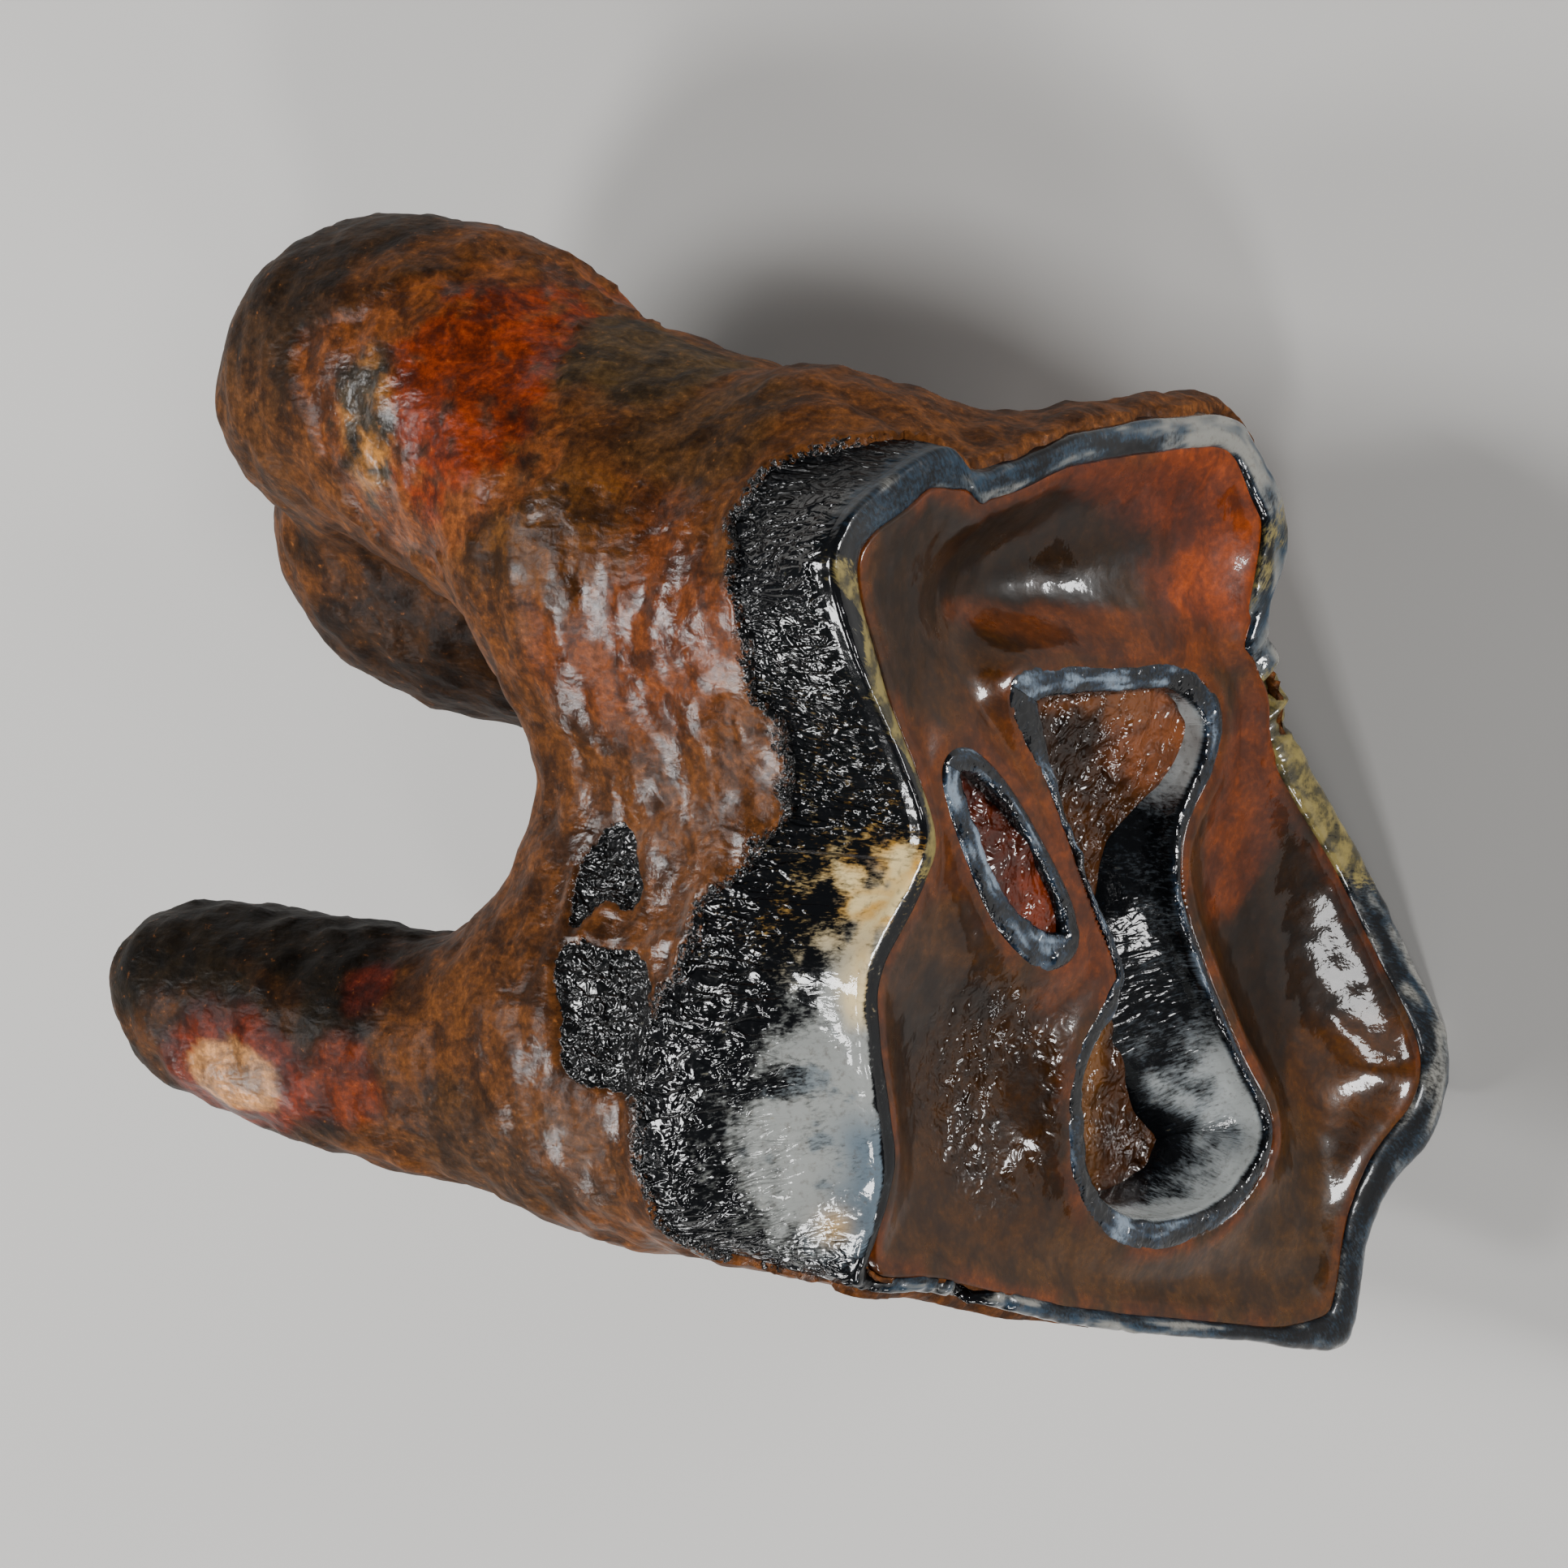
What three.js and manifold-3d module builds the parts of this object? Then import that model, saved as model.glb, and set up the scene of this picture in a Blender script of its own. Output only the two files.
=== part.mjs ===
// Upper molar of a woolly rhinoceros, well worn, lying on its cheek side.
// Millimetres. The tooth is first laid out in its own frame:
// x points to the cheek, y to the back of the jaw and z out of the chewing surface.
// z = 0 is the crest of the outer enamel, and the roots run towards negative z.
// At the end it is turned the way it rests on a floor, with +Z up.
import * as THREE from "three";
import { mergeVertices } from "three/addons/utils/BufferGeometryUtils.js";
import Module from "manifold-3d";

const wasm = await Module();
wasm.setup();

// ---- driving dimensions ----
const gap = 0.3; // clearance between neighbouring solids
const axis = [22, 0]; // x, y of the crown's long axis
const aroundCrown = 80; // facets round the crown
const aroundRoot = 22; // facets round a root
const neckDepth = 12; // depth below the crest at which the neck outline holds
const forkDepth = 24; // depth at which the outline above the roots holds
const forkFloor = 28; // depth at which the roots part
const forkRounding = 5; // radius between the trunk's sides and the fork
const rootCut = 31; // depth at which each root becomes a solid of its own
const webRadius = 8; // width over which the roots flow into the trunk
const rootWeb = 3.5; // width over which neighbouring roots flow together
const rootsFrom = 13; // depth at which the roots begin to shape the skin
const rootsSpan = 8; // further depth after which they shape it fully
const trunkDepths = [28, 26.5, 24, 20, 16, 12, 8, 5, 2.5, 0]; // rings of the crown and trunk
const coreDepths = [26, 15, 8, 3.5, 0]; // rings of the crown inside its enamel
const coreRise = 4; // how far the core runs on above the crest, to be worn away
const rootOverlap = 7; // how far a root reaches up into the trunk
const rootRingStep = 3.8; // depth between the rings of a root
const tipTurns = [0, 22, 42, 58, 72, 83]; // degrees of the rings round a root's tip

// Outer outline of the worn crown at its crest, from the tongue side round the back.
const crestOutline = [
  [2.5, -23.2], [2.7, -17], [0.6, -10.5], [0, -6], [3, -1], [3.9, 1.8], [1.5, 5.5], [-3, 11],
  [-5.4, 15.5], [-3.8, 19], [0.2, 21.6], [3.4, 23], [5.8, 21.9], [9, 22.6], [14.2, 24.8],
  [21.4, 26.4], [28.6, 27.3], [32.3, 24.6], [35, 21], [33.7, 16], [36.4, 12.4], [37.9, 8.6],
  [44.8, 2.4], [51.5, -4], [55.6, -8.3], [55.3, -13.6], [50.9, -17.8], [49.1, -21], [48.4, -26],
  [46.5, -27.6], [38, -27], [22, -25.8], [10, -24],
];
const neckOutline = [
  [-1, -21.6], [-3, -12], [-1.5, -3], [-1.5, 4], [-4.5, 12], [-2, 21.5], [2.5, 26.3], [7, 27.3],
  [12, 26.6], [17, 25.1], [22, 25.7], [28, 26.6], [34, 22], [38, 15], [44, 4], [49, -8],
  [48.5, -18], [43, -25], [28, -25.2], [12, -23.9],
];
const forkOutline = [
  [1, -19.5], [-1.5, -12], [-1, -3], [-0.5, 4], [-3, 13], [-2, 20.5], [4, 25], [12, 26],
  [20, 26], [28, 25], [35, 20], [38, 9], [40, -2], [41, -12], [39, -19], [33, -23.5],
  [20, -23.6], [8, -21.8],
];
// Cementum coat that swells the back wall just under the crest, between two depths.
const coat = { angle: 83, spread: 24, thickness: 1, start: 0.8, rise: 2, end: 12, fall: 7 };

// Each root: stations of [depth, x, y, half width in x, half width in y], and its tip's length.
const roots = {
  root_distolingual: {
    tip: 9,
    stations: [
      [14, 10, 13, 11, 10], [20, 7.5, 15.6, 11, 9.8], [27, 5.5, 18.6, 11, 10.7],
      [34, 4.5, 22.8, 10.5, 11], [40, 4, 24.8, 10, 10.5], [47, 4, 26, 9.5, 9.5],
      [56, 4.3, 24.9, 9.2, 8.8],
    ],
  },
  root_distobuccal: {
    tip: 10,
    stations: [
      [14, 28, 12, 10, 10], [24, 26.5, 13, 12, 11.5], [32, 24, 15, 12.5, 11.2],
      [40, 20, 16.3, 12.5, 10.8], [48, 17.2, 17.3, 12, 10.8], [60.5, 14, 18.7, 10.5, 10],
    ],
  },
  root_mesiolingual: {
    tip: 6,
    stations: [
      [14, 8, -12, 9, 9], [20, 6, -12.6, 8.5, 8.4], [27, 4.5, -12.7, 7.5, 7.6],
      [34, 3, -13.9, 7, 7], [40, 2, -13.6, 7, 6.8], [48, 0.5, -12.7, 6.8, 6.1],
      [57, -1.5, -11.3, 5.8, 4.9],
    ],
  },
  root_mesiobuccal: {
    tip: 6,
    stations: [
      [14, 31, -12.5, 9, 9.5], [24, 33.5, -13, 8.5, 9], [34, 34.5, -13.5, 7.7, 8],
      [44, 35, -14, 7, 7], [54, 35, -15, 5.5, 5.5],
    ],
  },
};

// Enamel of the crown: [angle in degrees round the axis, thickness of the band].
const bandThickness = [
  [-180, 1.6], [-140, 1.8], [-125, 1.1], [-60, 1.1], [-45, 2.4], [-10, 2.8], [30, 2.4],
  [60, 2.1], [110, 1.9], [140, 2.4], [150, 2.4], [160, 1.3], [180, 1.6],
];
const enamelBase = { atAxis: 13.5, slope: 0.21 }; // depth of the enamel's lower edge

// The two enamel rings that stand in the worn dentine, as centre lines.
const fossette = {
  halfBand: 1.1, depth: 7, top: 0.4, points: 44, fillTop: 1.4,
  line: [
    [6.1, 5.6], [7.9, 5.8], [10.9, 4.2], [13.8, 1.6], [16.7, -1.5], [17.8, -3.8], [16, -4.5],
    [13, -3.5], [10.6, -1.8], [8.5, 0.9], [6.8, 3.5],
  ],
};
const valley = {
  halfBand: 0.95, depth: 9, top: 0.4, points: 84, fillTop: 4.6,
  line: [
    [11.8, 10], [14.5, 10.9], [21.2, 11.5], [26, 11.9], [29.4, 10], [29.2, 6.8], [27.4, 3.4],
    [27.3, 0.4], [28.9, -2.9], [34.1, -9.4], [38, -13.6], [37.6, -16.6], [34, -19.5],
    [28, -20.7], [23, -19.5], [20.4, -16.2], [19.9, -11.1], [22.3, -7], [22.6, -5],
    [19.2, -0.5], [15.5, 4.6],
  ],
};

// Worn dentine between the enamel: its depth below the crest and the hollows ground into it.
const table = { depth: 1, cells: 17, from: [-8, -30], to: [58, 30], height: 20 };
const hollows = [
  { at: [17, 18], reach: [13, 5.5], depth: 2 },
  { at: [44, -6], reach: [7, 8], depth: 1.6 },
  { at: [10, -13.5], reach: [7, 7], depth: 1.5 },
];

// How it lies: the floor's upward direction and the side turned to the front, tooth frame.
const restUp = new THREE.Vector3(-0.9083, -0.2923, 0.2992).normalize();
const frontSide = new THREE.Vector3(-0.743, 0, 0.669);
const restFlat = 0.25; // height ground off the spots that touch the floor

// How finely outlines are read, and how the solid's skin is drawn onto the field.
const outlineSamples = 1200; // points along an outline
const outlineSteps = 720; // radii kept round the axis
const angleStep = 0.02; // radians between the radii that give a wall's slope
const fit = { rounds: 6, step: 0.05, longest: 1, leastSlope: 0.2 };

// ---- small helpers ----
const radians = THREE.MathUtils.degToRad;

function smoothstep(t) {
  return THREE.MathUtils.smoothstep(t, 0, 1);
}

// Closed smooth line through flat points, as Vector2 samples.
function closedLine(points, count) {
  const curve = new THREE.CatmullRomCurve3(
    points.map(([x, y]) => new THREE.Vector3(x, y, 0)), true, "catmullrom", 0.5);
  const samples = [];
  for (let i = 0; i < count; i += 1) {
    const p = curve.getPoint(i / count);
    samples.push(new THREE.Vector2(p.x, p.y));
  }
  return samples;
}

// Value at x between the nearest entries of a rising list of [x, value].
function between(pairs, x) {
  let k = 1;
  while (k < pairs.length - 1 && pairs[k][0] < x) {
    k += 1;
  }
  const [x0, y0] = pairs[k - 1];
  const [x1, y1] = pairs[k];
  return y0 + (y1 - y0) * THREE.MathUtils.clamp((x - x0) / (x1 - x0), 0, 1);
}

// The function that gives an outline's distance from the axis at any angle.
function outlineRadius(points) {
  const polar = closedLine(points, outlineSamples).map((p) => {
    const x = p.x - axis[0];
    const y = p.y - axis[1];
    return [Math.atan2(y, x), Math.hypot(x, y)];
  });
  polar.sort((a, b) => a[0] - b[0]);
  const first = polar[0];
  const last = polar[polar.length - 1];
  polar.unshift([last[0] - 2 * Math.PI, last[1]]);
  polar.push([first[0] + 2 * Math.PI, first[1]]);
  const even = [];
  for (let i = 0; i <= outlineSteps; i += 1) {
    const angle = -Math.PI + (2 * Math.PI * i) / outlineSteps;
    const k = polar.findIndex((entry) => entry[0] >= angle);
    even.push(between(polar.slice(k - 1, k + 1), angle));
  }
  return (angle) => {
    const turn = (angle + Math.PI) / (2 * Math.PI);
    const place = (turn - Math.floor(turn)) * outlineSteps;
    const i = Math.floor(place);
    return THREE.MathUtils.lerp(even[i], even[i + 1], place - i);
  };
}

const crestRadius = outlineRadius(crestOutline);
const neckRadius = outlineRadius(neckOutline);
const forkRadius = outlineRadius(forkOutline);

// How much longer a step along the ray is than one square to the wall.
function wallSlant(angle, depth) {
  const change = trunkRadius(angle + angleStep, depth) - trunkRadius(angle - angleStep, depth);
  return Math.hypot(1, change / (2 * angleStep * trunkRadius(angle, depth)));
}

// Outer radius of crown and trunk at an angle round the axis and a depth below the crest.
function trunkRadius(angle, depth) {
  const toNeck = smoothstep(depth / neckDepth);
  const toFork = smoothstep((depth - neckDepth) / (forkDepth - neckDepth));
  const crown = THREE.MathUtils.lerp(crestRadius(angle), neckRadius(angle), toNeck);
  const plain = THREE.MathUtils.lerp(crown, forkRadius(angle), toFork);
  const side = Math.exp(-(((THREE.MathUtils.radToDeg(angle) - coat.angle) / coat.spread) ** 4));
  const rise = smoothstep((depth - coat.start) / coat.rise);
  const fall = smoothstep((depth - coat.end + coat.fall) / coat.fall);
  return plain + coat.thickness * side * rise * (1 - fall);
}

// Closed geometry from rings of points, with flat lids, or joined end to end as a tube.
function loft(rings, isTube = false) {
  const count = rings[0].length;
  const vertices = rings.flat();
  const triangles = [];
  const lastBand = isTube ? rings.length : rings.length - 1;
  for (let i = 0; i < lastBand; i += 1) {
    const a = i * count;
    const b = ((i + 1) % rings.length) * count;
    for (let j = 0; j < count; j += 1) {
      const k = (j + 1) % count;
      triangles.push([a + j, a + k, b + j], [a + k, b + k, b + j]);
    }
  }
  if (!isTube) {
    const flat = (ring) => ring.map((p) => new THREE.Vector2(p.x, p.y));
    const top = (rings.length - 1) * count;
    for (const [a, b, c] of THREE.ShapeUtils.triangulateShape(flat(rings[0]), [])) {
      triangles.push([a, c, b]);
    }
    for (const [a, b, c] of THREE.ShapeUtils.triangulateShape(flat(rings[rings.length - 1]), [])) {
      triangles.push([top + a, top + b, top + c]);
    }
  }
  const geometry = new THREE.BufferGeometry();
  const positions = vertices.flatMap((p) => [p.x, p.y, p.z]);
  geometry.setAttribute("position", new THREE.Float32BufferAttribute(positions, 3));
  geometry.setIndex(triangles.flat());
  return geometry;
}

function toSolid(geometry) {
  const plain = new THREE.BufferGeometry();
  plain.setAttribute("position", geometry.getAttribute("position"));
  plain.setIndex(geometry.getIndex());
  const merged = mergeVertices(plain, 1e-5);
  return new wasm.Manifold(new wasm.Mesh({
    numProp: 3,
    vertProperties: new Float32Array(merged.getAttribute("position").array),
    triVerts: new Uint32Array(merged.getIndex().array),
  }));
}

function toGeometry(solid) {
  const mesh = solid.getMesh();
  const geometry = new THREE.BufferGeometry();
  geometry.setAttribute("position", new THREE.BufferAttribute(mesh.vertProperties, 3));
  geometry.setIndex(new THREE.BufferAttribute(mesh.triVerts, 1));
  return geometry;
}

// Everything on the side of a plane that its normal points to, as a big block.
function halfSpace(point, normal) {
  const size = 300;
  const block = new THREE.BoxGeometry(size, size, size);
  block.translate(0, 0, size / 2);
  const turn = new THREE.Quaternion().setFromUnitVectors(
    new THREE.Vector3(0, 0, 1), normal.clone().normalize());
  block.applyQuaternion(turn);
  block.translate(point.x, point.y, point.z);
  return toSolid(block);
}

// ---- the tooth's skin as one field: negative inside, in millimetres ----
function trunkDistance(p) {
  const x = p.x - axis[0];
  const y = p.y - axis[1];
  const angle = Math.atan2(y, x);
  const beyond = Math.hypot(x, y) - trunkRadius(angle, -p.z);
  const side = beyond / wallSlant(angle, -p.z) + forkRounding;
  const floor = -forkFloor - p.z + forkRounding;
  const outer = Math.hypot(Math.max(side, 0), Math.max(floor, 0));
  const wall = Math.min(Math.max(side, floor), 0) + outer - forkRounding;
  return Math.max(wall, p.z);
}

// Centre and half widths of a root at a depth, smooth between its stations.
function rootSection(root, depth) {
  const { stations } = root;
  const last = stations.length - 1;
  const reach = THREE.MathUtils.clamp(depth, stations[0][0], stations[last][0]);
  let k = 0;
  while (k < last - 1 && stations[k + 1][0] < reach) {
    k += 1;
  }
  const span = stations[k + 1][0] - stations[k][0];
  const t = (reach - stations[k][0]) / span;
  const tangent = (i, column) => {
    const a = stations[Math.max(i - 1, 0)];
    const b = stations[Math.min(i + 1, last)];
    return (b[column] - a[column]) / (b[0] - a[0]);
  };
  const value = (column) => {
    const start = (2 * t ** 3 - 3 * t ** 2 + 1) * stations[k][column];
    const leave = (t ** 3 - 2 * t ** 2 + t) * span * tangent(k, column);
    const end = (3 * t ** 2 - 2 * t ** 3) * stations[k + 1][column];
    const arrive = (t ** 3 - t ** 2) * span * tangent(k + 1, column);
    return start + leave + end + arrive;
  };
  const intoTip = THREE.MathUtils.clamp((depth - stations[last][0] + root.tip) / root.tip, 0, 1);
  const taper = Math.sqrt(Math.max(1 - intoTip ** 2, 1e-3));
  return { x: value(1), y: value(2), halfX: value(3) * taper, halfY: value(4) * taper };
}

function rootDistance(root, p) {
  const section = rootSection(root, -p.z);
  const { halfX, halfY } = section;
  const round = Math.hypot((p.x - section.x) / halfX, (p.y - section.y) / halfY);
  const side = (round - 1) * Math.min(halfX, halfY);
  return Math.max(side, p.z + root.stations[0][0]);
}

// Smaller of two distances, with a fillet of the given width where they are alike.
function blend(a, b, width) {
  const h = THREE.MathUtils.clamp(0.5 + (b - a) / (2 * width), 0, 1);
  return b * (1 - h) + a * h - width * h * (1 - h);
}

function skinDistance(p) {
  const trunk = trunkDistance(p);
  const joined = Object.values(roots)
    .map((root) => rootDistance(root, p))
    .reduce((a, b) => blend(a, b, rootWeb));
  const share = smoothstep((-p.z - rootsFrom) / rootsSpan);
  return THREE.MathUtils.lerp(trunk, blend(trunk, joined, webRadius), share);
}

// Moves the vertices that lie deeper than half the fork along the field's slope onto its skin.
function fitToSkin(solid) {
  const geometry = toGeometry(solid);
  const position = geometry.getAttribute("position");
  const p = new THREE.Vector3();
  const slope = new THREE.Vector3();
  for (let i = 0; i < position.count; i += 1) {
    p.fromBufferAttribute(position, i);
    if (p.z > -forkFloor / 2) {
      continue;
    }
    for (let round = 0; round < fit.rounds; round += 1) {
      ["x", "y", "z"].forEach((way) => {
        const ahead = p.clone();
        const behind = p.clone();
        ahead[way] += fit.step;
        behind[way] -= fit.step;
        slope[way] = (skinDistance(ahead) - skinDistance(behind)) / (2 * fit.step);
      });
      const move = skinDistance(p) / Math.max(slope.lengthSq(), fit.leastSlope);
      p.addScaledVector(slope, -THREE.MathUtils.clamp(move, -fit.longest, fit.longest));
    }
    position.setXYZ(i, p.x, p.y, p.z);
  }
  return toSolid(geometry);
}

// ---- solids ----
function trunkRing(radiusAt, z) {
  const ring = [];
  for (let i = 0; i < aroundCrown; i += 1) {
    const angle = -Math.PI + (2 * Math.PI * i) / aroundCrown;
    const radius = radiusAt(angle);
    ring.push(new THREE.Vector3(
      axis[0] + radius * Math.cos(angle), axis[1] + radius * Math.sin(angle), z));
  }
  return ring;
}

function trunkSolid() {
  const rings = trunkDepths.map((depth) => {
    const low = Math.max(depth - (forkFloor - forkRounding), 0);
    const inset = forkRounding - Math.sqrt(forkRounding ** 2 - low ** 2);
    return trunkRing((angle) => trunkRadius(angle, depth) - inset, -depth);
  });
  return toSolid(loft(rings));
}

function rootSolid(root) {
  const last = root.stations[root.stations.length - 1][0];
  const shoulder = last - root.tip;
  const depths = [];
  for (let depth = forkFloor - rootOverlap; depth < shoulder - 1; depth += rootRingStep) {
    depths.push(depth);
  }
  for (const turn of tipTurns) {
    depths.push(shoulder + root.tip * Math.sin(radians(turn)));
  }
  depths.reverse();
  const rings = depths.map((depth) => {
    const section = rootSection(root, depth);
    const ring = [];
    for (let i = 0; i < aroundRoot; i += 1) {
      const angle = (2 * Math.PI * i) / aroundRoot;
      ring.push(new THREE.Vector3(
        section.x + section.halfX * Math.cos(angle),
        section.y + section.halfY * Math.sin(angle), -depth));
    }
    return ring;
  });
  return toSolid(loft(rings));
}

// The crown inside its enamel band, set in by a further clearance.
function coreSolid(clearance) {
  const inner = (depth) => (angle) => {
    const band = between(bandThickness, THREE.MathUtils.radToDeg(angle));
    return trunkRadius(angle, depth) - (band + clearance) * wallSlant(angle, depth);
  };
  const rings = coreDepths.map((depth) => trunkRing(inner(depth), -depth));
  rings.push(trunkRing(inner(0), coreRise));
  return toSolid(loft(rings));
}

// A closed centre line moved sideways, outwards for a positive offset, without loops.
function offsetLine(line, offset) {
  const moved = line.map((p, i) => {
    const before = line[(i + line.length - 1) % line.length];
    const after = line[(i + 1) % line.length];
    const along = after.clone().sub(before).normalize();
    return new THREE.Vector2(p.x + along.y * offset, p.y - along.x * offset);
  });
  const reach = Math.abs(offset) * 0.97;
  return moved.filter((p) => line.every((q) => p.distanceTo(q) > reach));
}

// Column that fills an enamel ring out to an offset from its centre line, between two heights.
function ringColumn(ring, offset, bottom, top) {
  const line = closedLine(ring.line, ring.points);
  if (THREE.ShapeUtils.isClockWise(line)) {
    line.reverse();
  }
  const outline = offsetLine(line, offset);
  const atHeight = (z) => outline.map((p) => new THREE.Vector3(p.x, p.y, z));
  return toSolid(loft([atHeight(bottom), atHeight(top)]));
}

function ringEnamel(ring) {
  const outer = ringColumn(ring, ring.halfBand, -ring.depth, -ring.top);
  const inner = ringColumn(ring, -ring.halfBand, -ring.depth - gap, gap);
  return outer.subtract(inner);
}

// The channel cut through the dentine to take an enamel ring.
function ringChannel(ring) {
  return ringColumn(ring, ring.halfBand + gap, -ring.depth - gap, gap);
}

function ringFill(ring) {
  return ringColumn(ring, -ring.halfBand - gap, -ring.depth, -ring.fillTop);
}

// What is worn away above the dentine: a block whose underside carries the hollows.
function wornAway() {
  const { cells, from, to, height } = table;
  const geometry = new THREE.BoxGeometry(
    to[0] - from[0], to[1] - from[1], height, cells, cells, 1);
  const position = geometry.getAttribute("position");
  for (let i = 0; i < position.count; i += 1) {
    const x = position.getX(i) + (from[0] + to[0]) / 2;
    const y = position.getY(i) + (from[1] + to[1]) / 2;
    const isTop = position.getZ(i) > 0;
    const ground = hollows.reduce((sum, { at, reach, depth }) => {
      const spread = ((x - at[0]) / reach[0]) ** 2 + ((y - at[1]) / reach[1]) ** 2;
      return sum + depth * Math.exp(-spread);
    }, table.depth);
    position.setXYZ(i, x, y, isTop ? height : -ground);
  }
  return toSolid(geometry);
}

// ---- parting the tooth into its named solids ----
const skin = fitToSkin(Object.values(roots)
  .map((root) => rootSolid(root))
  .reduce((whole, root) => whole.add(root), trunkSolid()));

const baseNormal = new THREE.Vector3(enamelBase.slope, 0, 1).normalize();
const basePoint = new THREE.Vector3(axis[0], axis[1], -enamelBase.atAxis);
const belowBase = basePoint.clone().addScaledVector(baseNormal, -gap);
const crown = skin.intersect(halfSpace(basePoint, baseNormal));
const trunkAndRoots = skin.intersect(halfSpace(belowBase, baseNormal.clone().negate()));

const down = new THREE.Vector3(0, 0, -1);
const neck = trunkAndRoots.subtract(halfSpace(new THREE.Vector3(0, 0, -rootCut), down));
const allRoots = trunkAndRoots.intersect(halfSpace(new THREE.Vector3(0, 0, -rootCut - gap), down));

// The four roots lie apart from this middle place, and the two at the back touch.
const middle = new THREE.Vector3(20, 0, 0);
const backSplit = new THREE.Vector3(14, 18.5, -32);
const backWay = new THREE.Vector3(0.865, -0.395, -0.22);
const toBack = new THREE.Vector3(0, 1, 0);
const toFront = new THREE.Vector3(0, -1, 0);
const toCheek = new THREE.Vector3(1, 0, 0);
const toTongue = new THREE.Vector3(-1, 0, 0);
const backRoots = allRoots.intersect(halfSpace(middle, toBack));
const frontRoots = allRoots.intersect(halfSpace(middle, toFront));
const backEdge = backSplit.clone().addScaledVector(backWay, gap);

const parts = {
  crown_enamel: crown.subtract(coreSolid(0)),
  crown_dentine: crown
    .intersect(coreSolid(gap))
    .subtract(wornAway())
    .subtract(ringChannel(fossette))
    .subtract(ringChannel(valley)),
  fossette_enamel: ringEnamel(fossette),
  fossette_fill: ringFill(fossette),
  valley_enamel: ringEnamel(valley),
  valley_fill: ringFill(valley),
  neck,
  root_distolingual: backRoots.intersect(halfSpace(backSplit, backWay.clone().negate())),
  root_distobuccal: backRoots.intersect(halfSpace(backEdge, backWay)),
  root_mesiolingual: frontRoots.intersect(halfSpace(middle, toTongue)),
  root_mesiobuccal: frontRoots.intersect(halfSpace(middle, toCheek)),
};

// ---- materials ----
function finish(color, roughness) {
  return new THREE.MeshStandardMaterial({ color, roughness, metalness: 0 });
}

const finishes = {
  crown_enamel: finish(0x2b3036, 0.25),
  crown_dentine: finish(0x5a3a20, 0.25),
  fossette_enamel: finish(0x34393f, 0.25),
  fossette_fill: finish(0x6e3016, 0.25),
  valley_enamel: finish(0x3f454c, 0.25),
  valley_fill: finish(0x6a3c1e, 0.3),
  neck: finish(0x6b3b1f, 0.4),
  root_distolingual: finish(0x743a1c, 0.4),
  root_distobuccal: finish(0x3f2c1c, 0.45),
  root_mesiolingual: finish(0x40322a, 0.45),
  root_mesiobuccal: finish(0x4a3424, 0.45),
};

// ---- the tooth at rest ----
function lowestAlong(solid, direction) {
  const { vertProperties } = solid.getMesh();
  let low = Infinity;
  for (let i = 0; i < vertProperties.length; i += 3) {
    const p = new THREE.Vector3().fromArray(vertProperties, i);
    low = Math.min(low, p.dot(direction));
  }
  return low;
}

const floorLevel = lowestAlong(skin, restUp) + restFlat;
const aboveFloor = halfSpace(restUp.clone().multiplyScalar(floorLevel), restUp);

const tooth = new THREE.Group();
for (const [name, solid] of Object.entries(parts)) {
  const mesh = new THREE.Mesh(toGeometry(solid.intersect(aboveFloor)), finishes[name]);
  mesh.name = name;
  tooth.add(mesh);
}

const towardsBack = frontSide.clone().addScaledVector(restUp, -frontSide.dot(restUp));
towardsBack.normalize().negate();
const sideways = towardsBack.clone().cross(restUp);
const toRest = new THREE.Matrix4().makeBasis(sideways, towardsBack, restUp).transpose();
tooth.quaternion.setFromRotationMatrix(toRest);
tooth.updateMatrixWorld(true);
const box = new THREE.Box3().setFromObject(tooth, true);
tooth.position.set(-(box.min.x + box.max.x) / 2, -(box.min.y + box.max.y) / 2, -box.min.z);

export default tooth;
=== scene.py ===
import math

import bpy
import numpy as np
from mathutils import Matrix


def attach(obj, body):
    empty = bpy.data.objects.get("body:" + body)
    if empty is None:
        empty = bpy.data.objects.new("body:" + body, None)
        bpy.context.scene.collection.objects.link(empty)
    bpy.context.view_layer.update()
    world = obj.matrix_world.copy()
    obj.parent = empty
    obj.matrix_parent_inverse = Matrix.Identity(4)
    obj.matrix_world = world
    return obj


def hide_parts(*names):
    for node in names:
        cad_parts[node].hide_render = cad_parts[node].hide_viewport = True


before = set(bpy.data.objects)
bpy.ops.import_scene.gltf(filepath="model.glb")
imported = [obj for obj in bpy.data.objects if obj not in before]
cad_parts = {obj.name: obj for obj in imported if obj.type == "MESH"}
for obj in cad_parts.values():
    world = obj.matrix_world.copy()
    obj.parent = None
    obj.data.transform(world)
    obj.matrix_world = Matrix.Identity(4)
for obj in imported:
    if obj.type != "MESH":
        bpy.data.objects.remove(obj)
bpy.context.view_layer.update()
print("frame loaded")

# The tooth's own frame is in millimetres: x to the cheek, y to the back of the jaw, z out of the
# chewing surface from the crest of the outer enamel. The row frame is the one it rests in.
restPose = {
    "up": (-0.9083, -0.2923, 0.2992),  # the floor's upward direction, tooth frame
    "front": (-0.743, 0.0, 0.669),  # the side that is turned to the front
    "origin": (-4.326, -18.676, 47.897),  # the tooth frame's origin, row frame
}


# A vector over its own length.
def unit(vector):
    vector = np.asarray(vector, float)
    return vector / np.linalg.norm(vector)


# Turn from the tooth frame to the row frame; rows are across, backwards and up.
def restMatrix():
    up = unit(restPose["up"])
    front = np.array(restPose["front"])
    back = -unit(front - front @ up * up)
    return np.array([np.cross(back, up), back, up])


toRow = restMatrix()


# Row frame, in metres = the turn times the point, plus the origin, over 1000.
def placePoints(points):
    return (points @ toRow.T + np.array(restPose["origin"])) / 1000


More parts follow.
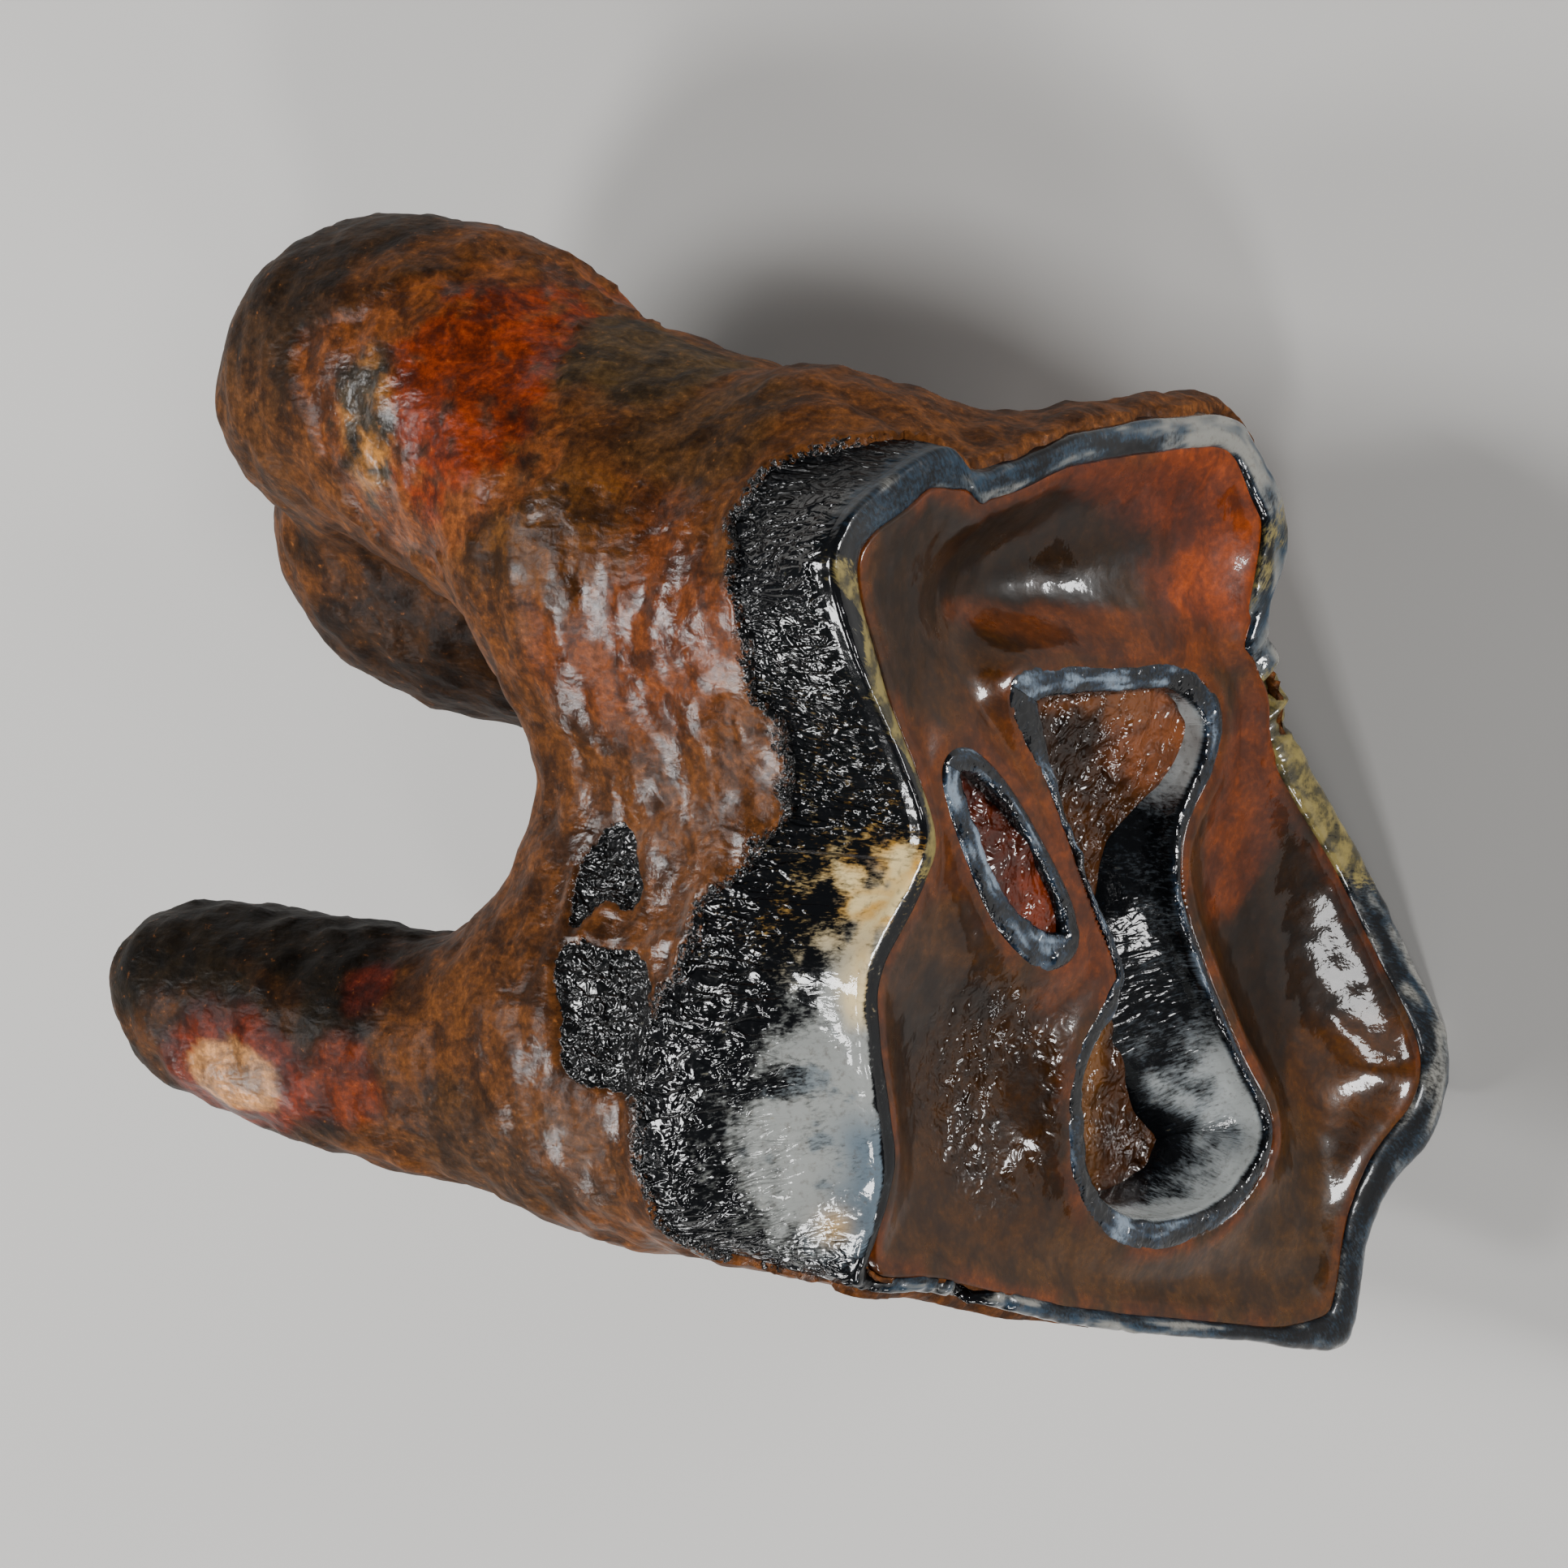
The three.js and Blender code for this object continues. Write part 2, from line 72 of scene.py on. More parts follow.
# 3t^2 - 2t^3, where t goes from 0 at low to 1 at high.
def ramp(low, high, value):
    t = np.clip((value - low) / (high - low), 0, 1)
    return t * t * (3 - 2 * t)


# a, and the share t of the way from a to b.
def lerp(a, b, t):
    return a + (b - a) * t


# exp(-((value - middle) / reach)^2)
def hump(value, middle, reach):
    return np.exp(-(((value - middle) / reach) ** 2))


# Up from 0 to 1 over the rise, and down to 0 again over the fall.
def between(value, rise, fall):
    return ramp(*rise, value) * ramp(*fall[::-1], value)


# Distance from a place (x, y, reach x, reach y) over its reaches: 1 all round its oval.
def ovalAway(x, y, place):
    atX, atY, reachX, reachY = place
    return np.hypot((x - atX) / reachX, (y - atY) / reachY)


# Points from grids of x, y and z that spread over each other, row after row.
def rowPoints(x, y, z):
    return np.stack([part.ravel() for part in np.broadcast_arrays(x, y, z)], 1).astype(float)


# A value spread over a grid in the same order.
def spread(value, grid):
    return np.broadcast_to(value, grid.shape).ravel().astype(float)


# Depth under the top of a rounded crest = height * (1 - (1 - |a|^n)^(1/n)), a from -1 to 1.
def crestDepth(height, a, n):
    return height * (1 - (1 - abs(a) ** n) ** (1 / n))


# Noise from -1 to 1: random values on a lattice, blended by a fifth-order curve, octaves halved.
def noise(points, size, seed, octaves=3):
    lattice = np.random.default_rng(seed).random((32, 32, 32)).astype(np.float32) * 2 - 1
    total = np.zeros(len(points))
    weight = 1.0
    for octave in range(octaves):
        p = points / size * 2**octave + 7.3 * octave
        cell = np.floor(p).astype(int)
        f = p - cell
        f = f * f * f * (f * (6 * f - 15) + 10)
        low = cell % 32
        high = (cell + 1) % 32
        value = 0
        for corner in range(8):
            pick = [(corner >> k) & 1 for k in range(3)]
            index = [np.where(pick[k], high[:, k], low[:, k]) for k in range(3)]
            share = np.prod([f[:, k] if pick[k] else 1 - f[:, k] for k in range(3)], axis=0)
            value = value + lattice[index[0], index[1], index[2]] * share
        total += value * weight
        weight *= 0.5
    return total


# Catmull-Rom curve through a closed row of points of any width, count samples.
def closedCurve(points, count):
    points = np.asarray(points, float)
    place = np.linspace(0, len(points), count, endpoint=False)
    k = place.astype(int)
    t = (place - k)[:, None]
    p0, p1, p2, p3 = [points[(k + shift) % len(points)] for shift in (-1, 0, 1, 2)]
    return 0.5 * (2 * p1 + (p2 - p0) * t + (2 * p0 - 5 * p1 + 4 * p2 - p3) * t**2
                  + (3 * p1 - p0 - 3 * p2 + p3) * t**3)


# Signed distance of flat points from a closed line, negative inside.
def lineDistance(x, y, line):
    px, py = np.ravel(x), np.ravel(y)
    best = np.full(px.shape, 1e9)
    inside = np.zeros(px.shape, bool)
    for (ax, ay), (bx, by) in zip(line, np.roll(line, -1, axis=0)):
        dx, dy = bx - ax, by - ay
        t = np.clip(((px - ax) * dx + (py - ay) * dy) / (dx * dx + dy * dy), 0, 1)
        best = np.minimum(best, np.hypot(px - ax - t * dx, py - ay - t * dy))
        crosses = (ay > py) != (by > py)
        at = ax + (py - ay) * dx / np.where(abs(dy) < 1e-12, 1e-12, dy)
        inside ^= crosses & (px < at)
    return np.where(inside, -best, best).reshape(np.shape(x))


# Value at an angle from a rising list of [degrees, value] round the crown, eased between entries.
def aroundCrown(pairs, angle):
    degrees = (np.degrees(angle) + 180) % 360 - 180
    xs, ys = np.array(pairs, float).T
    k = np.clip(np.searchsorted(xs, degrees) - 1, 0, len(xs) - 2)
    t = ramp(0, 1, (degrees - xs[k]) / (xs[k + 1] - xs[k]))
    return lerp(ys[k], ys[k + 1], t)


# The outer form: outlines in x and y at the crest, the neck and the fork of the roots.
form = {
    "axis": (22, 0),  # x and y of the line that the outlines go round
    "neckDepth": 12,
    "forkDepth": 24,
    "forkFloor": 28,  # where the trunk ends between the roots
    "forkRounding": 5,
    "webRadius": 8,  # fillet between the trunk and the roots
    "rootWeb": 3.5,  # fillet between two roots
    "rootsFrom": (13, 21),  # depths between which the roots take over
    "crest": [
        (2.5, -23.2), (2.7, -17), (0.6, -10.5), (0, -6), (3, -1), (3.9, 1.8), (1.5, 5.5), (-3, 11),
        (-5.4, 15.5), (-3.8, 19), (0.2, 21.6), (3.4, 23), (5.8, 21.9), (9, 22.6), (14.2, 24.8),
        (21.4, 26.4), (28.6, 27.3), (32.3, 24.6), (35, 21), (33.7, 16), (36.4, 12.4), (37.9, 8.6),
        (44.8, 2.4), (51.5, -4), (55.6, -8.3), (55.3, -13.6), (50.9, -17.8), (49.1, -21), (48.4, -26),
        (46.5, -27.6), (38, -27), (22, -25.8), (10, -24),
    ],
    "neck": [
        (-1, -21.6), (-3, -12), (-1.5, -3), (-1.5, 4), (-4.5, 12), (-2, 21.5), (2.5, 26.3), (7, 27.3),
        (12, 26.6), (17, 25.1), (22, 25.7), (28, 26.6), (34, 22), (38, 15), (44, 4), (49, -8),
        (48.5, -18), (43, -25), (28, -25.2), (12, -23.9),
    ],
    "fork": [
        (1, -19.5), (-1.5, -12), (-1, -3), (-0.5, 4), (-3, 13), (-2, 20.5), (4, 25), (12, 26), (20, 26),
        (28, 25), (35, 20), (38, 9), (40, -2), (41, -12), (39, -19), (33, -23.5), (20, -23.6),
        (8, -21.8),
    ],
    # cementum that stands proud of the back wall
    "coat": {"angle": 83, "spread": 24, "thickness": 1, "start": 0.8, "end": 12},
}
# Each root: its tip's length, and stations of depth, x, y, half width in x, half width in y.
roots = {
    "distolingual": (9, [
        (14, 10, 13, 11, 10), (20, 7.5, 15.6, 11, 9.8), (27, 5.5, 18.6, 11, 10.7),
        (34, 4.5, 22.8, 10.5, 11), (40, 4, 24.8, 10, 10.5), (47, 4, 26, 9.5, 9.5),
        (56, 4.3, 24.9, 9.2, 8.8),
    ]),
    "distobuccal": (10, [
        (14, 28, 12, 10, 10), (24, 26.5, 13, 12, 11.5), (32, 24, 15, 12.5, 11.2),
        (40, 20, 16.3, 12.5, 10.8), (48, 17.2, 17.3, 12, 10.8), (60.5, 14, 18.7, 10.5, 10),
    ]),
    "mesiolingual": (6, [
        (14, 8, -12, 9, 9), (20, 6, -12.6, 8.5, 8.4), (27, 4.5, -12.7, 7.5, 7.6), (34, 3, -13.9, 7, 7),
        (40, 2, -13.6, 7, 6.8), (48, 0.5, -12.7, 6.8, 6.1), (57, -1.5, -11.3, 5.8, 4.9),
    ]),
    "mesiobuccal": (6, [
        (14, 31, -12.5, 9, 9.5), (24, 33.5, -13, 8.5, 9), (34, 34.5, -13.5, 7.7, 8),
        (44, 35, -14, 7, 7), (54, 35, -15, 5.5, 5.5),
    ]),
}
ringAngles = np.linspace(-math.pi, math.pi, 1441)


# An outline's distance from the axis at each of the ring angles.
def outlineRadius(points):
    line = closedCurve(points, 2400) - np.array(form["axis"])
    angle = np.arctan2(line[:, 1], line[:, 0])
    order = np.argsort(angle)
    angle = angle[order]
    radius = np.hypot(*line[order].T)
    angle = np.concatenate([angle - 2 * math.pi, angle, angle + 2 * math.pi])
    return np.interp(ringAngles, angle, np.tile(radius, 3))


crestRadius, neckRadius, forkRadius = [outlineRadius(form[k]) for k in ("crest", "neck", "fork")]


# Radius = crest outline, eased into the neck's and then into the fork's, plus the coat.
def trunkRadius(angle, depth):
    toNeck = ramp(0, form["neckDepth"], depth)
    toFork = ramp(form["neckDepth"], form["forkDepth"], depth)
    outlines = (crestRadius, neckRadius, forkRadius)
    crest, neck, fork = [np.interp(angle, ringAngles, radius) for radius in outlines]
    coat = form["coat"]
    side = np.exp(-(((np.degrees(angle) - coat["angle"]) / coat["spread"]) ** 4))
    rise = ramp(coat["start"], coat["start"] + 2, depth)
    rise = rise * (1 - ramp(coat["end"] - 7, coat["end"], depth))
    return lerp(lerp(crest, neck, toNeck), fork, toFork) + coat["thickness"] * side * rise


# How much longer a step along the radius is than the step square to the wall.
def wallSlant(angle, depth):
    change = trunkRadius(angle + 0.02, depth) - trunkRadius(angle - 0.02, depth)
    return np.hypot(1, change / (0.04 * trunkRadius(angle, depth)))


# Distance from the trunk's wall and floor, with a rounded corner between them, negative inside.
def trunkField(x, y, z):
    dx, dy = x - form["axis"][0], y - form["axis"][1]
    angle = np.arctan2(dy, dx)
    r = form["forkRounding"]
    side = (np.hypot(dx, dy) - trunkRadius(angle, -z)) / wallSlant(angle, -z) + r
    floor = -form["forkFloor"] - z + r
    outer = np.hypot(np.maximum(side, 0), np.maximum(floor, 0))
    return np.minimum(np.maximum(side, floor), 0) + outer - r


# (Distance from the root's centre line over its half widths, less 1) times the smaller half width.
# Centre and half widths are cubic Hermite curves through the stations.
def rootField(root, x, y, z):
    tip, stations = root
    table = np.array(stations, float).T
    depths = table[0]
    padded = np.pad(table, ((0, 0), (1, 1)), mode="edge")
    rise = padded[:, 2:] - padded[:, :-2]
    depth = np.clip(-z, depths[0], depths[-1])
    k = np.clip(np.searchsorted(depths, depth, side="right") - 1, 0, len(depths) - 2)
    span = depths[k + 1] - depths[k]
    t = (depth - depths[k]) / span
    late = t * t * (3 - 2 * t)
    values = []
    for column, tangent in zip(table[1:], rise[1:] / rise[0]):
        swing = (t**3 - 2 * t**2 + t) * tangent[k] + (t**3 - t**2) * tangent[k + 1]
        values.append(lerp(column[k], column[k + 1], late) + span * swing)
    intoTip = np.clip((-z - depths[-1] + tip) / tip, 0, 1)
    taper = np.sqrt(np.maximum(1 - intoTip**2, 1e-3))
    halfX, halfY = values[2] * taper, values[3] * taper
    across = np.hypot((x - values[0]) / halfX, (y - values[1]) / halfY)
    side = (across - 1) * np.minimum(halfX, halfY)
    return np.maximum(np.maximum(side, -depths[-1] - z), z + depths[0])


# The smaller of two distances, with a fillet of that width where they are alike.
def softUnion(a, b, width):
    h = np.clip(0.5 + (b - a) / (2 * width), 0, 1)
    return b * (1 - h) + a * h - width * h * (1 - h)


# The roots' fields joined with fillets, and the trunk's above them.
def toothField(x, y, z):
    trunk = trunkField(x, y, z)
    joined = None
    for root in roots.values():
        field = rootField(root, x, y, z)
        joined = field if joined is None else softUnion(joined, field, form["rootWeb"])
    return lerp(trunk, softUnion(trunk, joined, form["webRadius"]), ramp(*form["rootsFrom"], -z))


# Skin of a field on a grid: one point in each cell that the surface crosses, at the mean of the
# crossings on its edges, and one face for each grid edge crossed.
def fieldSkin(axes, field):
    inside = field < 0
    corners = list(np.ndindex(2, 2, 2))
    count = sum(np.int8(inside[tuple(slice(c, n - 1 + c) for c, n in zip(corner, field.shape))])
                for corner in corners)
    cells = np.argwhere((count > 0) & (count < 8))
    number = np.full(count.shape, -1)
    number[tuple(cells.T)] = np.arange(len(cells))
    total = np.zeros((len(cells), 3))
    crossings = np.zeros((len(cells), 1))
    for corner in corners:
        for way in range(3):
            if corner[way]:
                continue
            there = cells + corner
            a = field[tuple(there.T)]
            there[:, way] += 1
            b = field[tuple(there.T)]
            hit = (a < 0) != (b < 0)
            spot = np.tile(np.array(corner, float), (hit.sum(), 1))
            spot[:, way] += a[hit] / (a[hit] - b[hit])
            total[hit] += spot
            crossings[hit] += 1
    spots = cells + total / crossings
    points = np.stack([np.interp(spots[:, k], np.arange(len(axes[k])), axes[k]) for k in range(3)], 1)
    faces = []
    for way in range(3):
        low, high = [slice(1, -1)] * 3, [slice(1, -1)] * 3
        low[way], high[way] = slice(0, -1), slice(1, None)
        a, b = inside[tuple(low)], inside[tuple(high)]
        edge = np.argwhere(a != b) + (np.arange(3) != way)
        beside = [k for k in range(3) if k != way]
        ring = []
        for back in ((1, 1), (0, 1), (0, 0), (1, 0)):
            there = edge.copy()
            there[:, beside] -= back
            ring.append(number[tuple(there.T)])
        quads = np.stack(ring, 1)
        turn = a[a != b] ^ (way != 1)
        quads[turn] = quads[turn][:, ::-1]
        faces.append(quads)
    return points, np.concatenate(faces)


# Faces of a grid of rows by columns, closed round the columns, and round the rows if asked.
def gridFaces(rows, columns, closed):
    i = np.arange(rows if closed else rows - 1)[:, None]
    j = np.arange(columns)[None, :]
    a = i * columns + j
    b = i * columns + (j + 1) % columns
    c = (i + 1) % rows * columns + (j + 1) % columns
    d = (i + 1) % rows * columns + j
    return np.stack([a, b, c, d], -1).reshape(-1, 4)


def addObject(name, data):
    thing = bpy.data.objects.new(name, data)
    bpy.context.scene.collection.objects.link(thing)
    return thing


# A mesh at its place, with the tooth frame's place and the masks of each point as attributes.
def addPiece(name, points, faces, masks, nodes, slot):
    mesh = bpy.data.meshes.new(name)
    mesh.from_pydata(placePoints(points).tolist(), [], sum([part.tolist() for part in faces], []))
    mesh.validate()
    mesh.shade_smooth()
    for key, value in {"toothPlace": points, **masks}.items():
        kind, field = ("FLOAT", "value") if value.ndim == 1 else ("FLOAT_VECTOR", "vector")
        layer = mesh.attributes.new(key, kind, "POINT")
        layer.data.foreach_set(field, value.astype(np.float32).ravel())
    piece = addObject(name, mesh)
    mesh.materials.append(finishes[slot])
    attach(piece, "root")
    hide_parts(*nodes)
    print(f"{name}: {len(points)} points, {len(mesh.loops) - 2 * len(mesh.polygons)} triangles")


# Screen colour from 0 to 255 as a linear one, for a point.
def pointTint(red, green, blue):
    c = np.array([red, green, blue]) / 255
    return np.where(c <= 0.04045, c / 12.92, ((c + 0.055) / 1.055) ** 2.4)


# The same for a socket.
def tint(red, green, blue):
    return tuple(pointTint(red, green, blue)) + (1.0,)


# Colour of each point with a screen colour laid over it by an amount.
def overlay(colour, shade, amount):
    return lerp(colour, pointTint(*shade), amount[:, None])


# Sets a node's sockets to fixed values, or links them.
def plug(node, sockets):
    for key, value in sockets.items():
        if isinstance(value, bpy.types.NodeSocket):
            node.id_data.links.new(value, node.inputs[key])
        else:
            node.inputs[key].default_value = value


# A node in the tree that holds the node or socket near it.
def addNode(near, kind, settings, inputs):
    node = near.id_data.nodes.new(kind)
    for key, value in settings.items():
        setattr(node, key, value)
    plug(node, inputs)
    return node


# Shorthands: an attribute of the mesh, mixes of two colours or values, sums and products.
def readLayer(near, name, output="Fac"):
    return addNode(near, "ShaderNodeAttribute", {"attribute_name": name}, {}).outputs[output]


def mixTint(amount, low, high):
    inputs = {0: amount, 6: low, 7: high}
    return addNode(amount, "ShaderNodeMix", {"data_type": "RGBA"}, inputs).outputs[2]


def mixValue(amount, low, high):
    return addNode(amount, "ShaderNodeMix", {}, {0: amount, 2: low, 3: high}).outputs[0]


def maths(kind, a, b):
    return addNode(a, "ShaderNodeMath", {"operation": kind}, {0: a, 1: b}).outputs[0]


def plus(a, b):
    return maths("ADD", a, b)


def times(a, b):
    return maths("MULTIPLY", a, b)


def scaled(kind, vector, inputs):
    return addNode(vector, "ShaderNodeVectorMath", {"operation": kind}, {0: vector, **inputs}).outputs[0]


# Smooth step of a value from low to high, as a number from toLow to toHigh.
def ease(value, low, high, toLow=0.0, toHigh=1.0):
    inputs = {"Value": value, "From Min": low, "From Max": high, "To Min": toLow, "To Max": toHigh}
    return addNode(value, "ShaderNodeMapRange", {"interpolation_type": "SMOOTHSTEP"}, inputs).outputs[0]


# Noise whose grain is size millimetres, drawn out by stretch along each axis.
def grain(place, size, detail, rough, warp=0.0, stretch=(1, 1, 1)):
    moved = scaled("MULTIPLY", place, {1: tuple(1 / (size * s) for s in stretch)})
    inputs = {"Vector": moved, "Scale": 1.0, "Detail": detail, "Roughness": rough, "Distortion": warp}
    return addNode(place, "ShaderNodeTexNoise", {}, inputs).outputs["Fac"]


# Bump from a height of 0 to 1, depth millimetres deep, on top of an earlier Normal.
def bumpy(height, depth, **earlier):
    inputs = {"Height": height, "Distance": depth / 1000, "Strength": 1.0, **earlier}
    return addNode(height, "ShaderNodeBump", {}, inputs).outputs["Normal"]


# The noises of those names in the looks, all in one layer of the mesh.
def grains(shader, layer, looks, *names):
    place = readLayer(shader, layer, "Vector")
    return [grain(place, *looks[name]) for name in names]


# The stain of the mesh, painted shade included where a patch holds it, lighter or darker by a factor.
def scaledStainAndShade(shader, shade):
    return scaled("SCALE", readLayer(shader, "stainAndShade", "Color"), {"Scale": shade})


# A new material and its shader.
def startFinish(name):
    material = bpy.data.materials.new(name)
    material.use_nodes = True
    return material, material.node_tree.nodes["Principled BSDF"]


# Colour and roughness under a clear coat, all with one bumped normal.
def glaze(shader, looks, colour, rough, coat, normal):
    plug(shader, {"Base Color": colour, "Roughness": rough, "Coat Weight": coat,
                  "Coat Roughness": looks["coatRough"], "Specular IOR Level": looks["specular"],
                  "Normal": normal, "Coat Normal": normal})


# Colour of each point: the first colour, then each patch laid over it with a ragged edge.
# A patch is (x, y, z, reach x, reach y, reach z, colour, strength); it fades from 0.75 to 1.25 of
# its reach.
# Some lists of patches hold painted shade and painted shadow as well as stains.
def layStainsAndShade(points, base, patches, ragged, seed):
    colour = np.tile(pointTint(*base), (len(points), 1))
    wobble = 0.28 * noise(points, ragged, seed, 4)
    for x, y, z, reachX, reachY, reachZ, shade, strength in patches:
        away = np.linalg.norm((points - (x, y, z)) / (reachX, reachY, reachZ), axis=1)
        colour = overlay(colour, shade, strength * ramp(1.25, 0.75, away + wobble))
    return colour


# In the looks below a noise is (size in millimetres, detail, roughness, warp, stretch), and an edge
# is the range of noise over which a layer sets in, then the values at its ends.

# Black enamel with fine worm-like ridges down the wall, and a milky or mossy layer over it; the milky
# layer also holds painted sheen and a painted crest highlight.
def enamelFinish():
    looks = {
        "black": tint(8, 9, 11), "moss": tint(104, 92, 50), "mould": tint(46, 42, 26),
        "fleck": tint(70, 62, 54),
        "worms": (0.68, 1.5, 0.45, 1.2, (1, 3.0, 1)), "wormEdge": (0.38, 0.62),
        "knots": (1.1, 2.0, 0.5, 0.5, (1, 1.2, 1)), "knotShare": 1.7,
        "speck": (0.2, 4.0, 0.65, 0.3, (1, 2.6, 1)), "speckShare": 1.5,
        "cloud": (1.4, 5.0, 0.62), "cloudShare": 0.9, "jitterShift": -1.2,
        "flecks": (0.45, 5.0, 0.68), "fleckEdge": (0.5, 0.72, 0.0, 0.5),
        "milkAndPaintedSheenEdge": (0.12, 0.85), "mossEdge": (0.25, 0.7), "mouldEdge": (0.4, 0.62),
        "waves": (0.9, 3.0, 0.5), "ridgeHeight": 0.2, "waveHeight": 0.05,
        "wetRough": 0.2, "dryRough": 0.42, "mossRough": 0.4, "wetCoat": 0.7, "dryCoat": 0.05,
        "coatRough": 0.06, "specular": 0.1,
    }
    material, shader = startFinish("glazedEnamel")
    milkAndPaintedSheen, moss, ridged, wet = [readLayer(shader, name) for name in ("milkAndPaintedSheen", "moss", "ridges", "wet")]
    worms, knots, speck = grains(shader, "wallPlace", looks, "worms", "knots", "speck")
    cloud, flecks, waves = grains(shader, "toothPlace", looks, "cloud", "flecks", "waves")
    jitter = plus(times(speck, looks["speckShare"]), times(cloud, looks["cloudShare"]))
    jitter = plus(jitter, looks["jitterShift"])
    stainAndShade = readLayer(shader, "stainAndShade", "Color")
    stainAndShade = mixTint(ease(flecks, *looks["fleckEdge"]), stainAndShade, looks["fleck"])
    colour = mixTint(ease(plus(jitter, milkAndPaintedSheen), *looks["milkAndPaintedSheenEdge"]), looks["black"], stainAndShade)
    mossy = ease(plus(moss, jitter), *looks["mossEdge"])
    mould = mixTint(ease(cloud, *looks["mouldEdge"]), looks["mould"], looks["moss"])
    colour = mixTint(mossy, colour, mould)
    ridges = plus(ease(worms, *looks["wormEdge"]), times(knots, looks["knotShare"]))
    normal = bumpy(times(ridges, ridged), looks["ridgeHeight"])
    normal = bumpy(waves, looks["waveHeight"], Normal=normal)
    rough = mixValue(wet, looks["dryRough"], looks["wetRough"])
    rough = mixValue(mossy, rough, looks["mossRough"])
    glaze(shader, looks, colour, rough, mixValue(wet, looks["dryCoat"], looks["wetCoat"]), normal)
    return material


# Polished dentine: stains worked out for each point, broken up by cloudy and fine noise.
def dentineFinish():
    looks = {
        "cloud": (2.2, 5.0, 0.62, 0.5), "cloudEdge": (0.36, 0.66, 1.2, 0.5),
        "fine": (0.4, 4.0, 0.6), "fineEdge": (0.4, 0.72, 0.85, 1.4),
        "pits": (0.85, 2.0, 0.5, 0.4), "pitHeight": 0.4, "waves": (1.6, 4.0, 0.5), "waveHeight": 0.06,
        "roughEdge": (0.3, 0.7, 0.26, 0.4), "coat": 0.42, "coatRough": 0.06, "specular": 0.1,
    }
    material, shader = startFinish("polishedDentine")
    cloud, fine, pits, waves = grains(shader, "toothPlace", looks, "cloud", "fine", "pits", "waves")
    shade = times(ease(cloud, *looks["cloudEdge"]), ease(fine, *looks["fineEdge"]))
    normal = bumpy(times(pits, readLayer(shader, "pitted")), looks["pitHeight"])
    normal = bumpy(waves, looks["waveHeight"], Normal=normal)
    rough = ease(cloud, *looks["roughEdge"])
    glaze(shader, looks, scaledStainAndShade(shader, shade), rough, looks["coat"], normal)
    return material


# Rust-brown cementum with a wet, lumpy skin, and black enamel where it has flaked off.
def cementumFinish():
    looks = {
        "fleck": tint(140, 84, 38), "bare": tint(9, 10, 11),
        "cloud": (2.4, 6.0, 0.66, 0.5), "cloudEdge": (0.4, 0.62, 1.25, 0.4),
        "fine": (0.5, 5.0, 0.7), "fineEdge": (0.36, 0.7, 0.6, 1.5), "fleckEdge": (0.62, 0.72, 0.0, 0.55),
        "speck": (0.35, 3.0, 0.6, 0.3), "bareEdge": (0.42, 0.58),
        "lumps": (1.3, 2.0, 0.5, 0.3, (1, 0.8, 1.5)), "fineShare": 0.3, "bareLumps": 0.15,
        "worms": (0.6, 1.5, 0.45, 1.2, (1, 1, 2)), "wormEdge": (0.38, 0.62),
        "knots": (1.1, 2.0, 0.5, 0.5), "knotShare": 2.4, "lumpHeight": 0.2, "wormHeight": 0.19,
        "dryRough": 0.6, "wetRough": 0.3, "coat": 0.85, "coatRough": 0.09, "specular": 0.08,
    }
    material, shader = startFinish("rustyCementum")
    cloud, fine, speck = grains(shader, "toothPlace", looks, "cloud", "fine", "speck")
    lumps, worms, knots = grains(shader, "toothPlace", looks, "lumps", "worms", "knots")
    shade = times(ease(cloud, *looks["cloudEdge"]), ease(fine, *looks["fineEdge"]))
    colour = mixTint(ease(fine, *looks["fleckEdge"]), scaledStainAndShade(shader, shade), looks["fleck"])
    bare = ease(plus(readLayer(shader, "bare"), plus(speck, -0.5)), *looks["bareEdge"])
    colour = mixTint(bare, colour, looks["bare"])
    lumps = plus(lumps, times(fine, looks["fineShare"]))
    normal = bumpy(times(lumps, mixValue(bare, 1.0, looks["bareLumps"])), looks["lumpHeight"])
    ridges = plus(ease(worms, *looks["wormEdge"]), times(knots, looks["knotShare"]))
    normal = bumpy(times(ridges, bare), looks["wormHeight"], Normal=normal)
    wet = maths("MAXIMUM", readLayer(shader, "wet"), bare)
    rough = mixValue(wet, looks["dryRough"], looks["wetRough"])
    glaze(shader, looks, colour, rough, times(wet, looks["coat"]), normal)
    return material


# Red-brown infill with rounded glossy lumps.
def infillFinish():
    looks = {
        "cloud": (2.0, 5.0, 0.6, 0.4), "cloudEdge": (0.38, 0.66, 1.15, 0.5),
        "lumps": (1.1, 2.0, 0.5, 0.3), "lumpHeight": 0.7,
        "rough": 0.3, "coat": 0.55, "coatRough": 0.07, "specular": 0.1,
    }
    material, shader = startFinish("lumpyInfill")
    cloud, lumps = grains(shader, "toothPlace", looks, "cloud", "lumps")
    colour = scaledStainAndShade(shader, ease(cloud, *looks["cloudEdge"]))
    glaze(shader, looks, colour, looks["rough"], looks["coat"], bumpy(lumps, looks["lumpHeight"]))
    return material


finishes = {
    "enamel": enamelFinish(),
    "dentine": dentineFinish(),
    "cementum": cementumFinish(),
    "infill": infillFinish(),
}
print("materials made")

